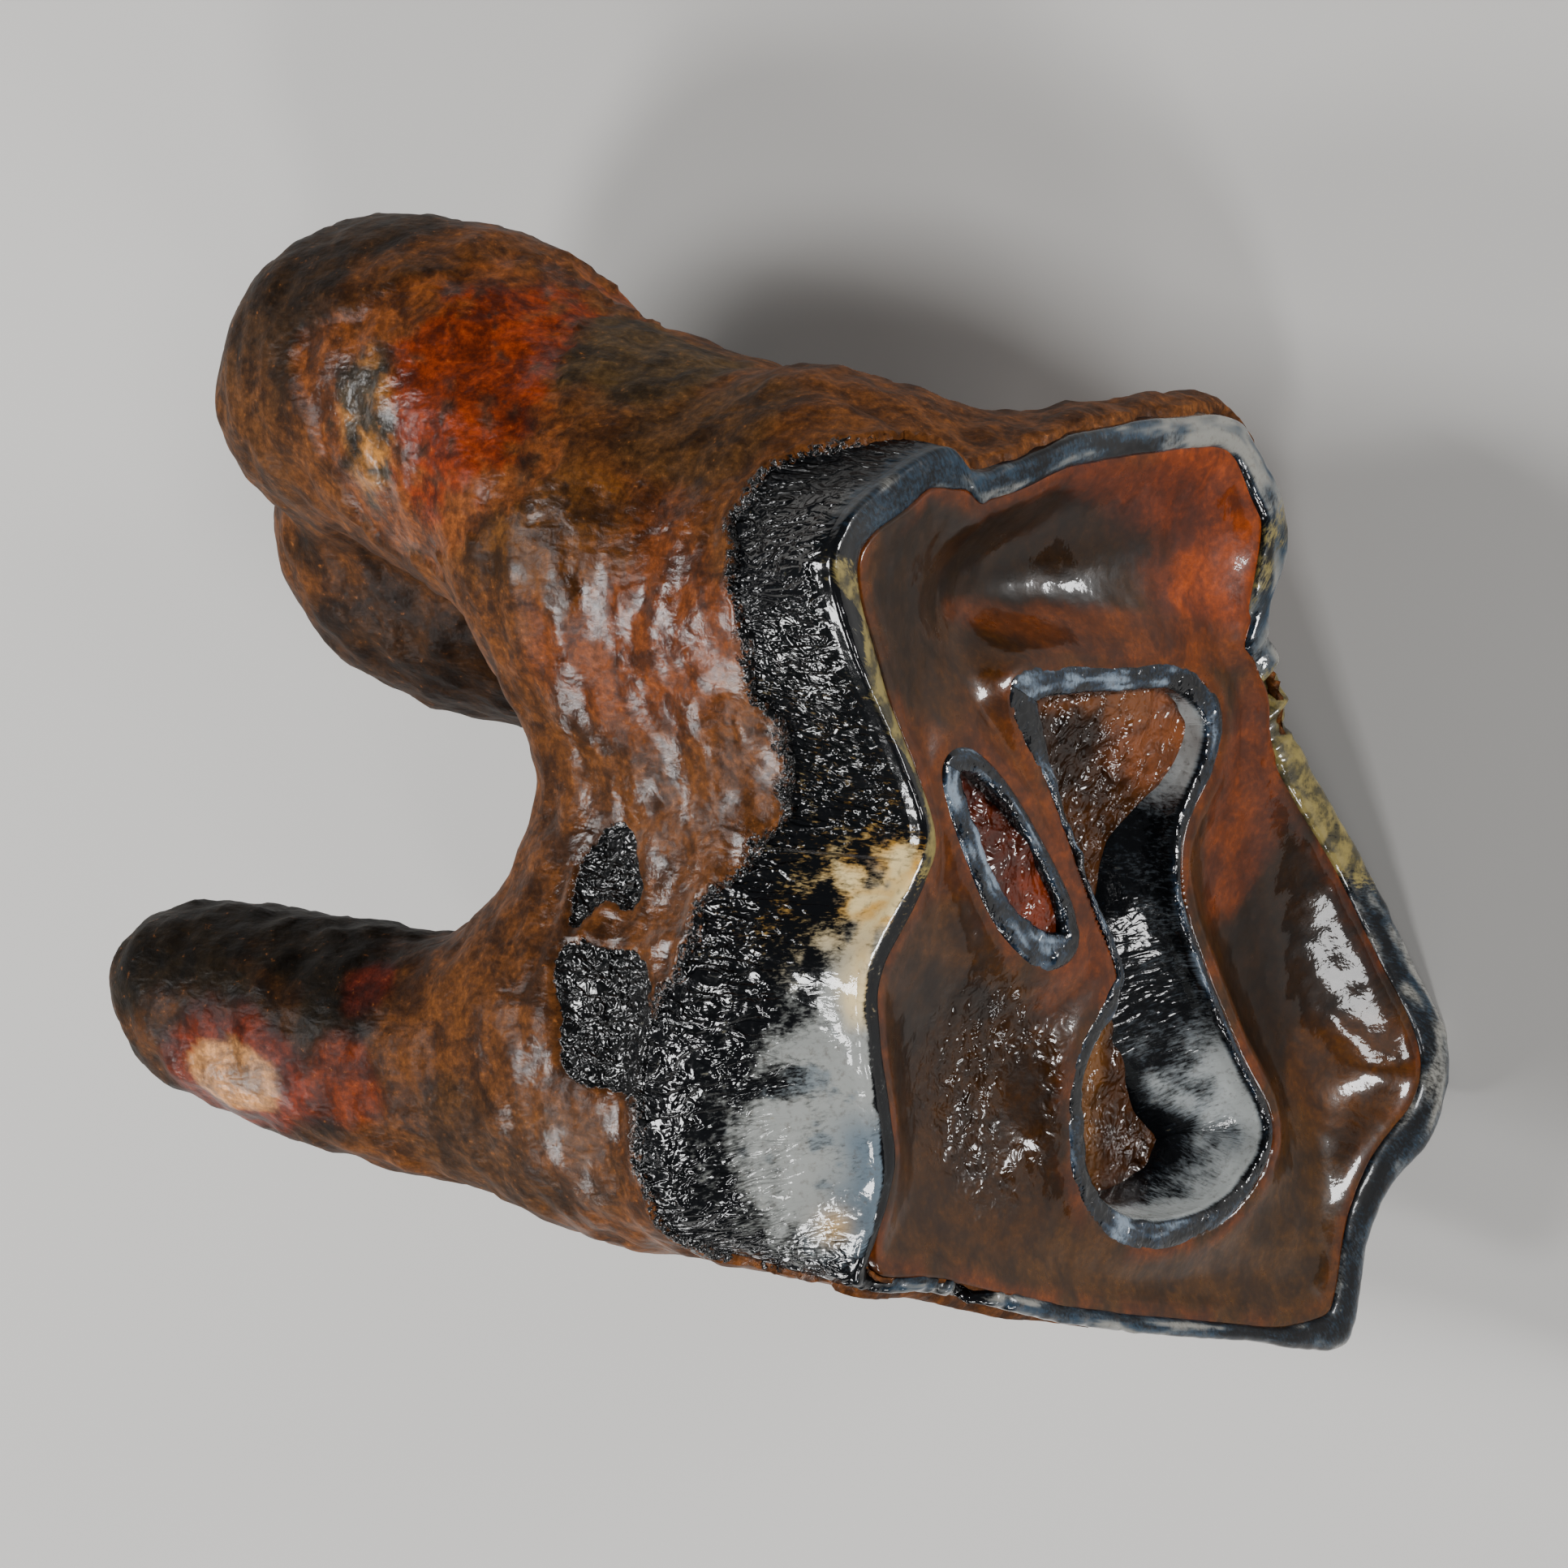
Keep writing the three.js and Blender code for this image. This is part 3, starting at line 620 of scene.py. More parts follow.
# The crown's outer enamel. Lists of pairs are [degrees, value] round the crown: the cheek is at
# 0 degrees, the back at 90, the tongue at 180 and the front at -90.
crownWall = {
    "columns": 1200,
    "crestRows": 16,
    "innerRows": 8,
    "outerStep": 0.3,  # distance of the rows down the outer wall
    "outerBottom": 18.0,  # how far down it goes under the cementum
    "innerBottom": 5.0,
    "rounding": 0.55,  # height of the rounded crest above its shoulders
    "roundness": 2.6,  # 2 is an ellipse, more is squarer
    "dive": 0.9,  # how far it draws back under the cementum
    "relief": 0.1,
    "brokenRelief": 0.25,
    "thickness": [
        (-180, 1.5), (-165, 1.7), (-140, 1.7), (-125, 1.0), (-55, 1.0), (-45, 2.4), (-25, 2.9),
        (-8, 2.4), (5, 2.2), (30, 2.4), (60, 2.1), (75, 1.9), (118, 1.8), (126, 1.6), (140, 2.4),
        (150, 2.3), (160, 1.3), (170, 1.2), (180, 1.5),
    ],
    # how much lower the worn inner edge is than the outer one
    "facet": [(-180, 0.2), (-134, 0.2), (-125, 0.1), (100, 0.1), (140, 0.5), (165, 0.4), (180, 0.2)],
    # how much of the rim is chipped away
    "chips": [
        (-180, 0), (-134, 0.05), (-129, 1.2), (-124, 0.5), (-118, 1.4), (-112, 1.5), (-104, 0.5),
        (-95, 0.25), (-60, 0.1), (26, 0.15), (34, 0.9), (42, 1.2), (47, 0.2), (52, 0.8), (58, 0.1),
        (180, 0),
    ],
    "shades": {
        "white": (124, 126, 123), "cream": (212, 188, 134), "ochre": (186, 134, 40),
        "bluish": (82, 94, 103), "spot": (184, 150, 100), "dark": (28, 44, 57), "pale": (104, 103, 98),
    },
    "spot": (-20.6, -2.5, 1.0, 1.0),  # y, z, reach y, reach z
}
# depth below the crest at which the cementum begins, round the crown
cementumEdge = [
    (-180, 8.5), (-168, 11), (-154, 12.8), (-144, 12.8), (-140, 11.8), (-132, 10), (-130.5, 6.5),
    (-129, 2), (-127, 1), (-110, 3), (-60, 5), (-40, 13), (0, 15), (32, 13), (40, 5), (55, 2.5),
    (70, 0.9), (120, 0.8), (128, 1.0), (131, 3.5), (135, 5.5), (140, 8.3), (145, 8.8), (157, 7),
    (168, 6.4), (172, 7), (180, 8.5),
]


# Angles of evenly spaced columns round the crest, and their places along it.
def crownColumns(count):
    x = crestRadius * np.cos(ringAngles)
    y = crestRadius * np.sin(ringAngles)
    length = np.concatenate([[0], np.cumsum(np.hypot(np.diff(x), np.diff(y)))])
    even = np.linspace(0, length[-1], count, endpoint=False)
    return np.interp(even, length, ringAngles), even


# Distance from the axis of the enamel's inner side at the ring angles: on each ray, the outermost
# place that lies the band's thickness or more within the outline, averaged with its neighbours.
def innerEdge():
    lowest, every, beside = 0.55, 3, 3
    share = np.linspace(lowest, 1, 91)[:, None]
    x = share * crestRadius * np.cos(ringAngles)
    y = share * crestRadius * np.sin(ringAngles)
    outline = np.stack([x[-1], y[-1]], 1)[:-1:4]
    spare = -lineDistance(x[:, ::every], y[:, ::every], outline)
    spare = spare - aroundCrown(crownWall["thickness"], ringAngles[::every])
    best = np.max(np.where(spare > 0, share, lowest), axis=0)
    shifts = range(-beside, beside + 1)
    best = sum(np.roll(best[:-1], k) for k in shifts) / len(shifts)
    return np.interp(ringAngles, ringAngles[::every], np.append(best, best[0])) * crestRadius


innerRadius = innerEdge()


# The wall is one closed strip: up the inner side, over the rounded crest, down the outer side.
# Radius = the trunk's, less the thickness on the inner side, less the dive under the cementum.
def buildCrownWall():
    w = crownWall
    angle, arc = [row[None, :] for row in crownColumns(w["columns"])]
    inner = np.linspace(w["innerBottom"], w["rounding"], w["innerRows"], endpoint=False)
    a = 0.5 - 0.5 * np.cos(np.linspace(0, math.pi, w["crestRows"]))
    crest = crestDepth(w["rounding"], 2 * a - 1, w["roundness"])
    outer = np.arange(w["rounding"] + 0.2, w["outerBottom"], w["outerStep"])
    across = np.concatenate([np.zeros(len(inner)), a, np.ones(len(outer))])[:, None]
    depth = np.concatenate([inner, crest, outer])[:, None]
    fade = ramp(6, 0, depth)
    rough = noise(rowPoints(30 * np.cos(angle), 30 * np.sin(angle), 0), 2.2, 11, 3)
    chips = aroundCrown(w["chips"], angle) * np.clip(0.75 + 0.6 * rough[None, :], 0.1, 2)
    lowered = depth + fade * (aroundCrown(w["facet"], angle) * (1 - across) + chips)
    thick = np.interp(angle, ringAngles, crestRadius - innerRadius)
    dive = w["dive"] * ramp(1.2, 3.0, lowered - aroundCrown(cementumEdge, angle)) * across
    radius = trunkRadius(angle, lowered) - (1 - across) * thick - dive
    axisX, axisY = form["axis"]
    points = rowPoints(axisX + radius * np.cos(angle), axisY + radius * np.sin(angle), -lowered)
    relief = w["relief"] * noise(points, 3.0, 12, 3)
    broken = w["brokenRelief"] * spread(chips * fade, radius)
    relief += broken * noise(points, 0.9, 13, 2)
    outward = rowPoints(np.cos(angle), np.sin(angle), 0 * radius)
    points = points + outward * (relief * spread(across, radius))[:, None]
    points[:, 2] += 0.5 * relief * spread(fade, radius)
    masks = crownMasks(points, *[spread(v, radius) for v in (angle, lowered, across, arc)])
    masks["wallPlace"] = rowPoints(arc, depth + (1 - across) * 3, 0)
    faces = gridFaces(*radius.shape, True)[:, ::-1]
    addPiece("crown_wall", points, [faces], masks, ["crown_enamel"], "enamel")


# Colour, milkiness with painted sheen and a painted crest highlight, moss, ridges and gloss of the outer
# enamel: products of ramps in the angle and in the depth below the crest, with noise added where a
# border is ragged.
def crownMasks(points, angle, depth, across, arc):
    shades = crownWall["shades"]
    degrees = np.degrees(angle)
    lingual = degrees % 360
    slow = noise(points, 4.0, 21, 3)
    quick = noise(points, 1.2, 23, 3)
    # milky band on the tongue side, deeper towards the front, with one darker streak
    near = ramp(172, 184, lingual + 4 * slow) * ramp(230, 224, lingual)
    reach = lerp(5.0, 7.6, ramp(198, 207, lingual))
    milkAndPaintedSheen = 0.12 + 0.88 * ramp(reach + 1.6, reach - 3.4, depth + 1.3 * slow + 0.5 * quick)
    milkAndPaintedSheen = milkAndPaintedSheen * near * ramp(reach + 3.5, reach + 1, depth)
    milkAndPaintedSheen = milkAndPaintedSheen * ramp(0.75, 0.95, across + 0.06 * quick)
    milkAndPaintedSheen = milkAndPaintedSheen * (1 - 0.45 * hump(lingual + 2 * slow, 203, 3) * ramp(2, 4.5, depth))
    milkAndPaintedSheen = milkAndPaintedSheen - 0.3 * near * ramp(0.2, 0.9, slow + 0.6 * quick)
    # its colour: cream and ochre at the back, bluish at the front and in small flecks
    stainAndShade = overlay(pointTint(*shades["white"]), shades["cream"], ramp(202, 190, lingual + 5 * slow))
    ochre = ramp(188, 180, lingual + 3 * quick) * (0.55 + 0.9 * quick)
    clouds = ramp(182, 188, lingual) * ramp(197, 190, lingual + 6 * slow)
    ochre = np.maximum(ochre, 0.8 * clouds * ramp(-0.35, 0.2, quick + 0.4 * slow))
    stainAndShade = overlay(stainAndShade, shades["ochre"], np.clip(ochre, 0, 1))
    blue = ramp(212, 219, lingual) * ramp(4.5, 1.5, depth + slow)
    blue = np.maximum(blue, 0.6 * ramp(0.6, 1.0, quick + 0.5 * slow))
    stainAndShade = overlay(stainAndShade, shades["bluish"], np.clip(blue, 0, 1))
    spot = np.exp(-ovalAway(points[:, 1], points[:, 2], crownWall["spot"]) ** 2)
    stainAndShade = overlay(stainAndShade, shades["spot"], spot * near)
    # steel-blue rim round the rest of the crown, streaked along it, palest where it is most worn
    far = 1 - between(lingual, (128, 140), (228, 232))
    fine = noise(rowPoints(arc * 0.22, across * 2.2, depth * 0.6), 0.7, 24, 3)
    worn = hump(degrees, 84, 9)
    pale = ramp(0, 1.1, 0.8 * slow + 0.9 * fine + 0.4 * worn)
    steel = overlay(pointTint(*shades["dark"]), shades["pale"], pale)
    stainAndShade = lerp(stainAndShade, steel, np.maximum(far, ramp(166, 156, lingual))[:, None])
    rim = ramp(1.5, 0.3, depth) * np.clip(0.42 + 0.3 * slow + 0.4 * fine + 0.2 * worn, 0, 1)
    # Painted highlight: a paler line along the top of the rounded crest, added to the milkiness.
    paintedCrestHighlight = hump(depth, 0.35, 0.35) * between(across, (0.35, 0.7), (0.8, 1.0))
    milkAndPaintedSheen = milkAndPaintedSheen + far * (rim + 0.4 * paintedCrestHighlight)
    milkAndPaintedSheen = milkAndPaintedSheen * (1 - 0.4 * between(degrees, (-60, -50), (30, 42)))
    # Painted sheen: a bluish milkiness high on the wall between the back and the tongue side.
    paintedSheen = between(lingual, (116, 126), (142, 150)) * ramp(3.4, 1.0, depth + 0.6 * slow)
    milkAndPaintedSheen = np.maximum(milkAndPaintedSheen, 0.42 * paintedSheen)
    # moss on the cheek side, in one small spot, and in a strip on the worn facet
    moss = 0.75 * between(degrees, (-2, 6), (44, 50)) * ramp(3.5, 1.5, depth)
    moss = moss + 0.45 * between(degrees, (56, 60), (62, 66))
    strip = between(lingual, (147, 151), (178, 186)) * ramp(1.3, 0.6, depth + 0.4 * quick)
    moss = moss + 0.75 * strip * ramp(0.95, 0.6, across + 0.35 * slow)
    ridges = ramp(0.9, 2.6, depth) * (1 - 0.9 * near * ramp(7.5, 5.0, depth + slow))
    gloss = 1 - 0.75 * between(lingual, (100, 120), (138, 146))
    gloss = gloss * (1 - 0.75 * ramp(170, 180, lingual) * ramp(0.8, 0.6, across))
    return {"stainAndShade": stainAndShade, "milkAndPaintedSheen": milkAndPaintedSheen, "moss": moss, "ridges": ridges, "wet": gloss}


# The two enamel rings. Line: x, y, half the band's width, how far the inner wall leans in.
valleyRing = {
    "name": "valley_ring", "columns": 760, "outerDepth": 3.0, "innerDepth": 8.0, "crest": 0.45,
    "rounding": 0.5,
    "line": [
        (11.8, 10, 1.35, 0.3), (14.5, 10.9, 1.0, 0.5), (21.2, 11.5, 0.8, 0.8), (26, 11.9, 0.9, 0.8),
        (29.4, 10, 1.0, 1.8), (29.2, 6.8, 0.8, 2.4), (27.4, 3.4, 0.6, 3.0), (27.3, 0.4, 0.4, 3.6),
        (28.9, -2.9, 0.4, 4.0), (34.1, -9.4, 0.4, 4.4), (38, -13.6, 0.45, 4.2), (37.6, -16.6, 0.6, 3.4),
        (34, -19.5, 0.8, 1.6), (28, -20.7, 1.0, 1.0), (23, -19.5, 1.0, 0.4), (20.4, -16.2, 0.9, 0.2),
        (19.9, -11.1, 0.8, 0.1), (22.3, -7, 0.75, 0.1), (22.6, -5, 0.45, 0.1), (19.2, -0.5, 0.22, 0.1),
        (15.5, 4.6, 0.4, 0.1), (13.2, 7.6, 1.15, 0.1),
    ],
}
fossetteRing = {
    "name": "fossette_ring", "columns": 400, "outerDepth": 3.0, "innerDepth": 6.0, "crest": 0.35,
    "rounding": 0.45,
    "line": [
        (6.3, 5.4, 0.9, 0), (8.0, 5.9, 0.7, 0), (11.1, 4.3, 0.55, 0.1), (14.1, 1.7, 0.5, 0.1),
        (17.0, -1.4, 0.6, 0.1), (18.0, -3.8, 0.9, 0.1), (16, -4.5, 1.2, 0), (13.1, -3.4, 1.05, 0),
        (10.8, -1.6, 0.95, 0), (8.7, 1.0, 0.9, 0), (7.0, 3.4, 0.85, 0),
    ],
}
ringRows = {"outer": 6, "crest": 15, "inner": 21, "roundness": 2.4}
ringShades = {"dark": (24, 40, 56), "steel": (96, 108, 120), "pale": (168, 172, 170)}


def ringCurve(ring):
    return closedCurve(ring["line"], ring["columns"])


# A profile carried along the ring's line: up the outer side, over the rounded crest, down the
# inner side, which leans in.
def buildRing(ring, nodes, seed):
    curve = ringCurve(ring)
    x, y, half, leaning = curve.T[:, None, :]
    along = np.roll(curve, -1, axis=0) - np.roll(curve, 1, axis=0)
    along = along[:, :2] / np.linalg.norm(along[:, :2], axis=1)[:, None]
    area = np.sum(x * np.roll(y, -1) - np.roll(x, -1) * y)
    outward = np.stack([along[:, 1], -along[:, 0]], 1) * np.sign(area)
    a = np.linspace(1, -1, ringRows["crest"])
    shoulder = ring["crest"] + ring["rounding"]
    top = ring["crest"] + crestDepth(ring["rounding"], a, ringRows["roundness"])
    outerDepth = np.linspace(ring["outerDepth"], shoulder, ringRows["outer"], endpoint=False)
    innerDepth = np.linspace(shoulder, ring["innerDepth"], ringRows["inner"] + 1)[1:]
    side = np.concatenate([np.ones(len(outerDepth)), a, -np.ones(len(innerDepth))])[:, None]
    depth = np.concatenate([outerDepth, top, innerDepth])[:, None]
    offset = side * half - ramp(0.6, ring["innerDepth"], depth) * (side < 0) * leaning
    points = rowPoints(x + outward[:, 0] * offset, y + outward[:, 1] * offset, -depth)
    relief = 0.12 * noise(points, 1.3, seed, 3)
    points[:, 2] += relief * spread(ramp(3, 0.5, depth), offset)
    wall = np.tile(outward, (len(depth), 1))
    points[:, :2] -= wall * (0.8 * relief * spread(0.15 + 0.85 * (side > -1), offset))[:, None]
    length = np.cumsum(np.linalg.norm(np.diff(curve[:, :2], axis=0), axis=1))
    length = np.concatenate([[0], length])[None, :]
    streaks = rowPoints(length * 0.25, side * 1.3, depth * 0.6)
    down, inside = spread(depth, offset), spread(side <= -1, offset)
    masks = ringMasks(points, down, inside, streaks, seed)
    masks["wallPlace"] = rowPoints(length, depth + 2 * side, 0)
    faces = gridFaces(len(depth), ring["columns"], True)
    if area < 0:
        faces = faces[:, ::-1]
    addPiece(ring["name"], points, [faces], masks, nodes, "enamel")


# Colour, milkiness and gloss of a ring: streaked steel-blue, milky on the crest, and pale on the
# inner wall towards the cheek.
def ringMasks(points, depth, inside, streaks, seed):
    slow = noise(points, 2.5, seed + 1, 3)
    quick = noise(streaks, 0.8, seed + 2, 3)
    steel = ramp(0.3, 1.0, 0.6 * slow + 0.8 * quick)
    stainAndShade = overlay(pointTint(*ringShades["dark"]), ringShades["steel"], steel)
    x, y = points[:, 0], points[:, 1]
    cheek = ramp(21, 27, x - 0.25 * y) * (1 - 0.8 * between(y, (-11, -7), (3, 7)))
    pale = 0.92 * inside * cheek * ramp(6.2, 1.2, depth + 1.4 * slow)
    stainAndShade = overlay(stainAndShade, ringShades["pale"], pale)
    crest = ramp(1.3, 0.5, depth) * (1 - inside)
    milkAndPaintedSheen = crest * np.clip(0.26 + 0.25 * slow + 0.4 * quick, 0, 1) + 1.15 * pale
    ridges = 0.12 * (1 - 0.6 * inside * cheek)
    return {"stainAndShade": stainAndShade, "milkAndPaintedSheen": milkAndPaintedSheen, "moss": 0 * depth, "ridges": ridges, "wet": 1 + 0 * depth}


# The worn dentine between the enamel bands.
dentineTable = {
    "columns": 720, "rows": 100, "bottom": 8.0, "level": 0.55, "overlap": 0.2,
    # x, y, reach along, reach across, turn in degrees, depth
    "hollows": [
        (11.5, 15.8, 7.5, 5.2, 8, 3.4), (22, 19.5, 10, 4.5, 8, 1.0), (41.7, -7.5, 12, 6.3, -42, 3.2),
        (10.5, -12.5, 7.5, 6.5, 90, 2.2), (32, -24, 14, 2.5, -2, 0.8), (8, 1, 6, 2.5, -50, 0.5),
    ],
    "sinkTo": 7.6,  # depth of the table under the rings' infill
    # x, y, reach x, reach y
    "pitted": (13.5, -12.6, 5.5, 6.2),
    "smoothSpot": (16.2, -13, 1.6, 3.0),
    "stainAndShade": (66, 40, 14),
    "patches": [
        (29.5, 21, 0, 7.5, 6.5, 99, (146, 64, 16), 0.9), (17, 21.5, 0, 13, 2.6, 99, (92, 38, 10), 0.9),
        (12, 18, 0, 12, 4.2, 99, (34, 20, 5), 0.95), (3, 15, 0, 4, 7, 99, (44, 28, 16), 0.9),
        (22, 14, 0, 12, 1.5, 99, (104, 52, 18), 0.8), (14, 7, 0, 9, 5, 99, (88, 48, 16), 0.9),
        (19, -2, 0, 5, 6, 99, (98, 46, 12), 0.9), (5, 3, 0, 4, 6, 99, (96, 50, 16), 0.8),
        (42, -4, 0, 8, 9, 99, (34, 19, 4), 0.95), (34, 5, 0, 3, 7, 99, (110, 50, 14), 0.8),
        (48, -13, 0, 4, 6, 99, (84, 50, 18), 0.8), (9, -9, 0, 6, 5, 99, (32, 18, 5), 0.9),
        (14, -14, 0, 7, 6, 99, (50, 30, 14), 0.8), (30, -24, 0, 22, 3.2, 99, (70, 45, 19), 0.9),
        (44, -19, 0, 5, 5, 99, (64, 42, 18), 0.8),
    ],
    "warm": (112, 54, 16),
    "dim": (0.49, 0.43, 0.22),  # factors on red, green and blue
}


# Depth = level + hollows, each exp(-(distance over reach)^2) and faded out towards the enamel.
def tableDepth(x, y, toEnamel):
    depth = np.full(np.shape(x), dentineTable["level"])
    gap = np.maximum(toEnamel, 0)
    for atX, atY, along, across, turn, deep in dentineTable["hollows"]:
        c, s = math.cos(math.radians(turn)), math.sin(math.radians(turn))
        dx, dy = x - atX, y - atY
        away = ((dx * c + dy * s) / along) ** 2 + ((dy * c - dx * s) / across) ** 2
        depth = depth + deep * np.exp(-away) * (1 - hump(gap, 0, 2.0))
    return depth + 0.3 * (1 - hump(gap, 0, 1.2))


# Rays from the axis to the inner side of the enamel, then down and back under: a closed cushion.
# Inside the rings it sinks under their infill.
def buildDentine():
    t = dentineTable
    angle = np.linspace(-math.pi, math.pi, t["columns"], endpoint=False)[None, :]
    edge = np.interp(angle, ringAngles, innerRadius) + t["overlap"]
    radius = np.linspace(0.01, 1, t["rows"])[:, None] * edge
    x = form["axis"][0] + radius * np.cos(angle)
    y = form["axis"][1] + radius * np.sin(angle)
    toEdge = -lineDistance(x, y, np.stack([x[-1], y[-1]], 1)[::3]) - t["overlap"]
    toValley = lineDistance(x, y, ringCurve(valleyRing)[::3, :2])
    toFossette = lineDistance(x, y, ringCurve(fossetteRing)[::3, :2])
    toEnamel = np.minimum(toEdge, np.minimum(toValley - 0.8, toFossette - 1.0))
    sunk = np.maximum(ramp(0.35, -0.25, toValley), ramp(0.4, -0.4, toFossette))
    flat = rowPoints(x, y, 0)
    pitted = np.exp(-ovalAway(x, y, t["pitted"]) ** 4)
    pitted = pitted * (1 - 0.97 * np.exp(-ovalAway(x, y, t["smoothSpot"]) ** 4))
    ripple = 0.05 * noise(flat, 2.0, 31, 3) + 0.14 * pitted.ravel() * noise(flat, 1.0, 32, 2)
    depth = tableDepth(x, y, toEnamel) + ripple.reshape(x.shape) * ramp(0, 1, toEnamel)
    depth = lerp(depth, t["sinkTo"], sunk)
    # three more rows: down the side, under the rim, and at the axis; then the two middle points
    x = np.concatenate([x, x[-1:], x[-1:], x[:1]])
    y = np.concatenate([y, y[-1:], y[-1:], y[:1]])
    under = np.array([3.0, t["bottom"], t["bottom"]])[:, None]
    depth = np.concatenate([depth, under + 0 * depth[:3]])
    middles = [[*form["axis"], -depth[0, 0]], [*form["axis"], -t["bottom"]]]
    points = np.concatenate([rowPoints(x, y, -depth), middles])
    rows, columns = x.shape
    ring = np.arange(columns)
    after = (ring + 1) % columns
    last = (rows - 1) * columns
    count = rows * columns
    lids = np.concatenate([np.stack([0 * ring + count, ring, after], 1),
                           np.stack([0 * ring + count + 1, last + after, last + ring], 1)])
    faces = gridFaces(rows, columns, False)[:, ::-1]
    spare = len(points) - toEnamel.size
    masks = {
        "stainAndShade": dentineStain(points, np.append(toEnamel, np.full(spare, 5.0))),
        "pitted": np.append(pitted, np.zeros(spare)),
    }
    addPiece("dentine_table", points, [faces, lids], masks, ["crown_dentine"], "dentine")


# The patches, then the warm shade within a millimetre of the enamel, more in some places.
def dentineStain(points, toEnamel):
    t = dentineTable
    colour = layStainsAndShade(points, t["stainAndShade"], t["patches"], 5.0, 41)
    drift = noise(points, 3.0, 42, 3)
    warm = ramp(1.3, 0.3, toEnamel + 0.6 * drift) * np.clip(0.35 + 0.6 * drift, 0, 0.7)
    return overlay(colour, t["warm"], warm) * t["dim"]


# The infill of the two rings.
infills = {
    "valley": {
        "ring": valleyRing, "name": "valley_infill", "nodes": ["valley_fill"], "step": 0.28,
        "bottom": 8.5,
        # x, y, reach, depth below the crest
        "levels": [
            (14, 8, 4, 3.0), (19, 9.9, 2.2, 1.3), (24, 10.4, 2.4, 1.2), (18, 7, 3, 3.8),
            (25, 7.5, 3, 1.9), (23, 2, 4, 4.2), (26, -8, 5, 5.4), (30, -15, 7, 6.2),
        ],
        "stainAndShade": (48, 25, 8),
        "patches": [
            (26, 8.5, -2, 4, 3, 99, (94, 50, 24), 0.8), (18, 10, -1, 7, 1.2, 99, (80, 43, 16), 0.8),
            # Painted shadow: the first patch on the next line, near black, lies in the upper lobe's left
            # side under the band.
            (17.5, 6.6, -4, 4.5, 2.6, 99, (24, 11, 3), 0.9), (25, -14, -6, 4, 9, 99, (82, 50, 18), 0.9),
        ],
    },
    "fossette": {
        "ring": fossetteRing, "name": "fossette_infill", "nodes": ["fossette_fill"], "step": 0.22,
        "bottom": 6.0,
        "levels": [(8, 4, 3, 1.7), (12, 0, 3, 0.8), (15, -2.5, 3, 0.9)],
        "stainAndShade": (62, 19, 3),
        "patches": [
            (8, 4, -1, 2, 2, 99, (50, 14, 6), 0.8), (14.5, -2, -1, 2.5, 2, 99, (86, 28, 3), 0.8),
        ],
    },
}


# Field = the larger of the distance outside the ring's line and the height above the lumpy fill.
# Depth of the fill = mean of the levels, each weighted by exp(-(distance over reach)^2).
def buildInfill(fill, seed):
    ring = ringCurve(fill["ring"])[::3, :2]
    step = fill["step"]
    low, high = ring.min(0) - 1, ring.max(0) + 1
    axes = [np.arange(low[0], high[0], step), np.arange(low[1], high[1], step),
            np.arange(-fill["bottom"] - 1, 0, step)]
    x, y = np.meshgrid(axes[0], axes[1], indexing="ij")
    total, depth = 1e-6, 4e-6  # so that far from all levels the depth is 4
    for atX, atY, reach, deep in fill["levels"]:
        share = np.exp(-ovalAway(x, y, (atX, atY, reach, reach)) ** 2)
        total = total + share
        depth = depth + share * deep
    lumps = noise(rowPoints(x, y, 0), 1.7, seed, 2).reshape(x.shape)
    depth = (depth / total - 0.22 * lumps)[:, :, None]
    outside = lineDistance(x, y, ring)[:, :, None]
    z = axes[2]
    field = np.maximum(np.maximum(outside, z + depth), -fill["bottom"] - z)
    points, faces = fieldSkin(axes, field)
    masks = {"stainAndShade": layStainsAndShade(points, fill["stainAndShade"], fill["patches"], 3.0, seed + 1)}
    addPiece(fill["name"], points, [faces], masks, fill["nodes"], "infill")


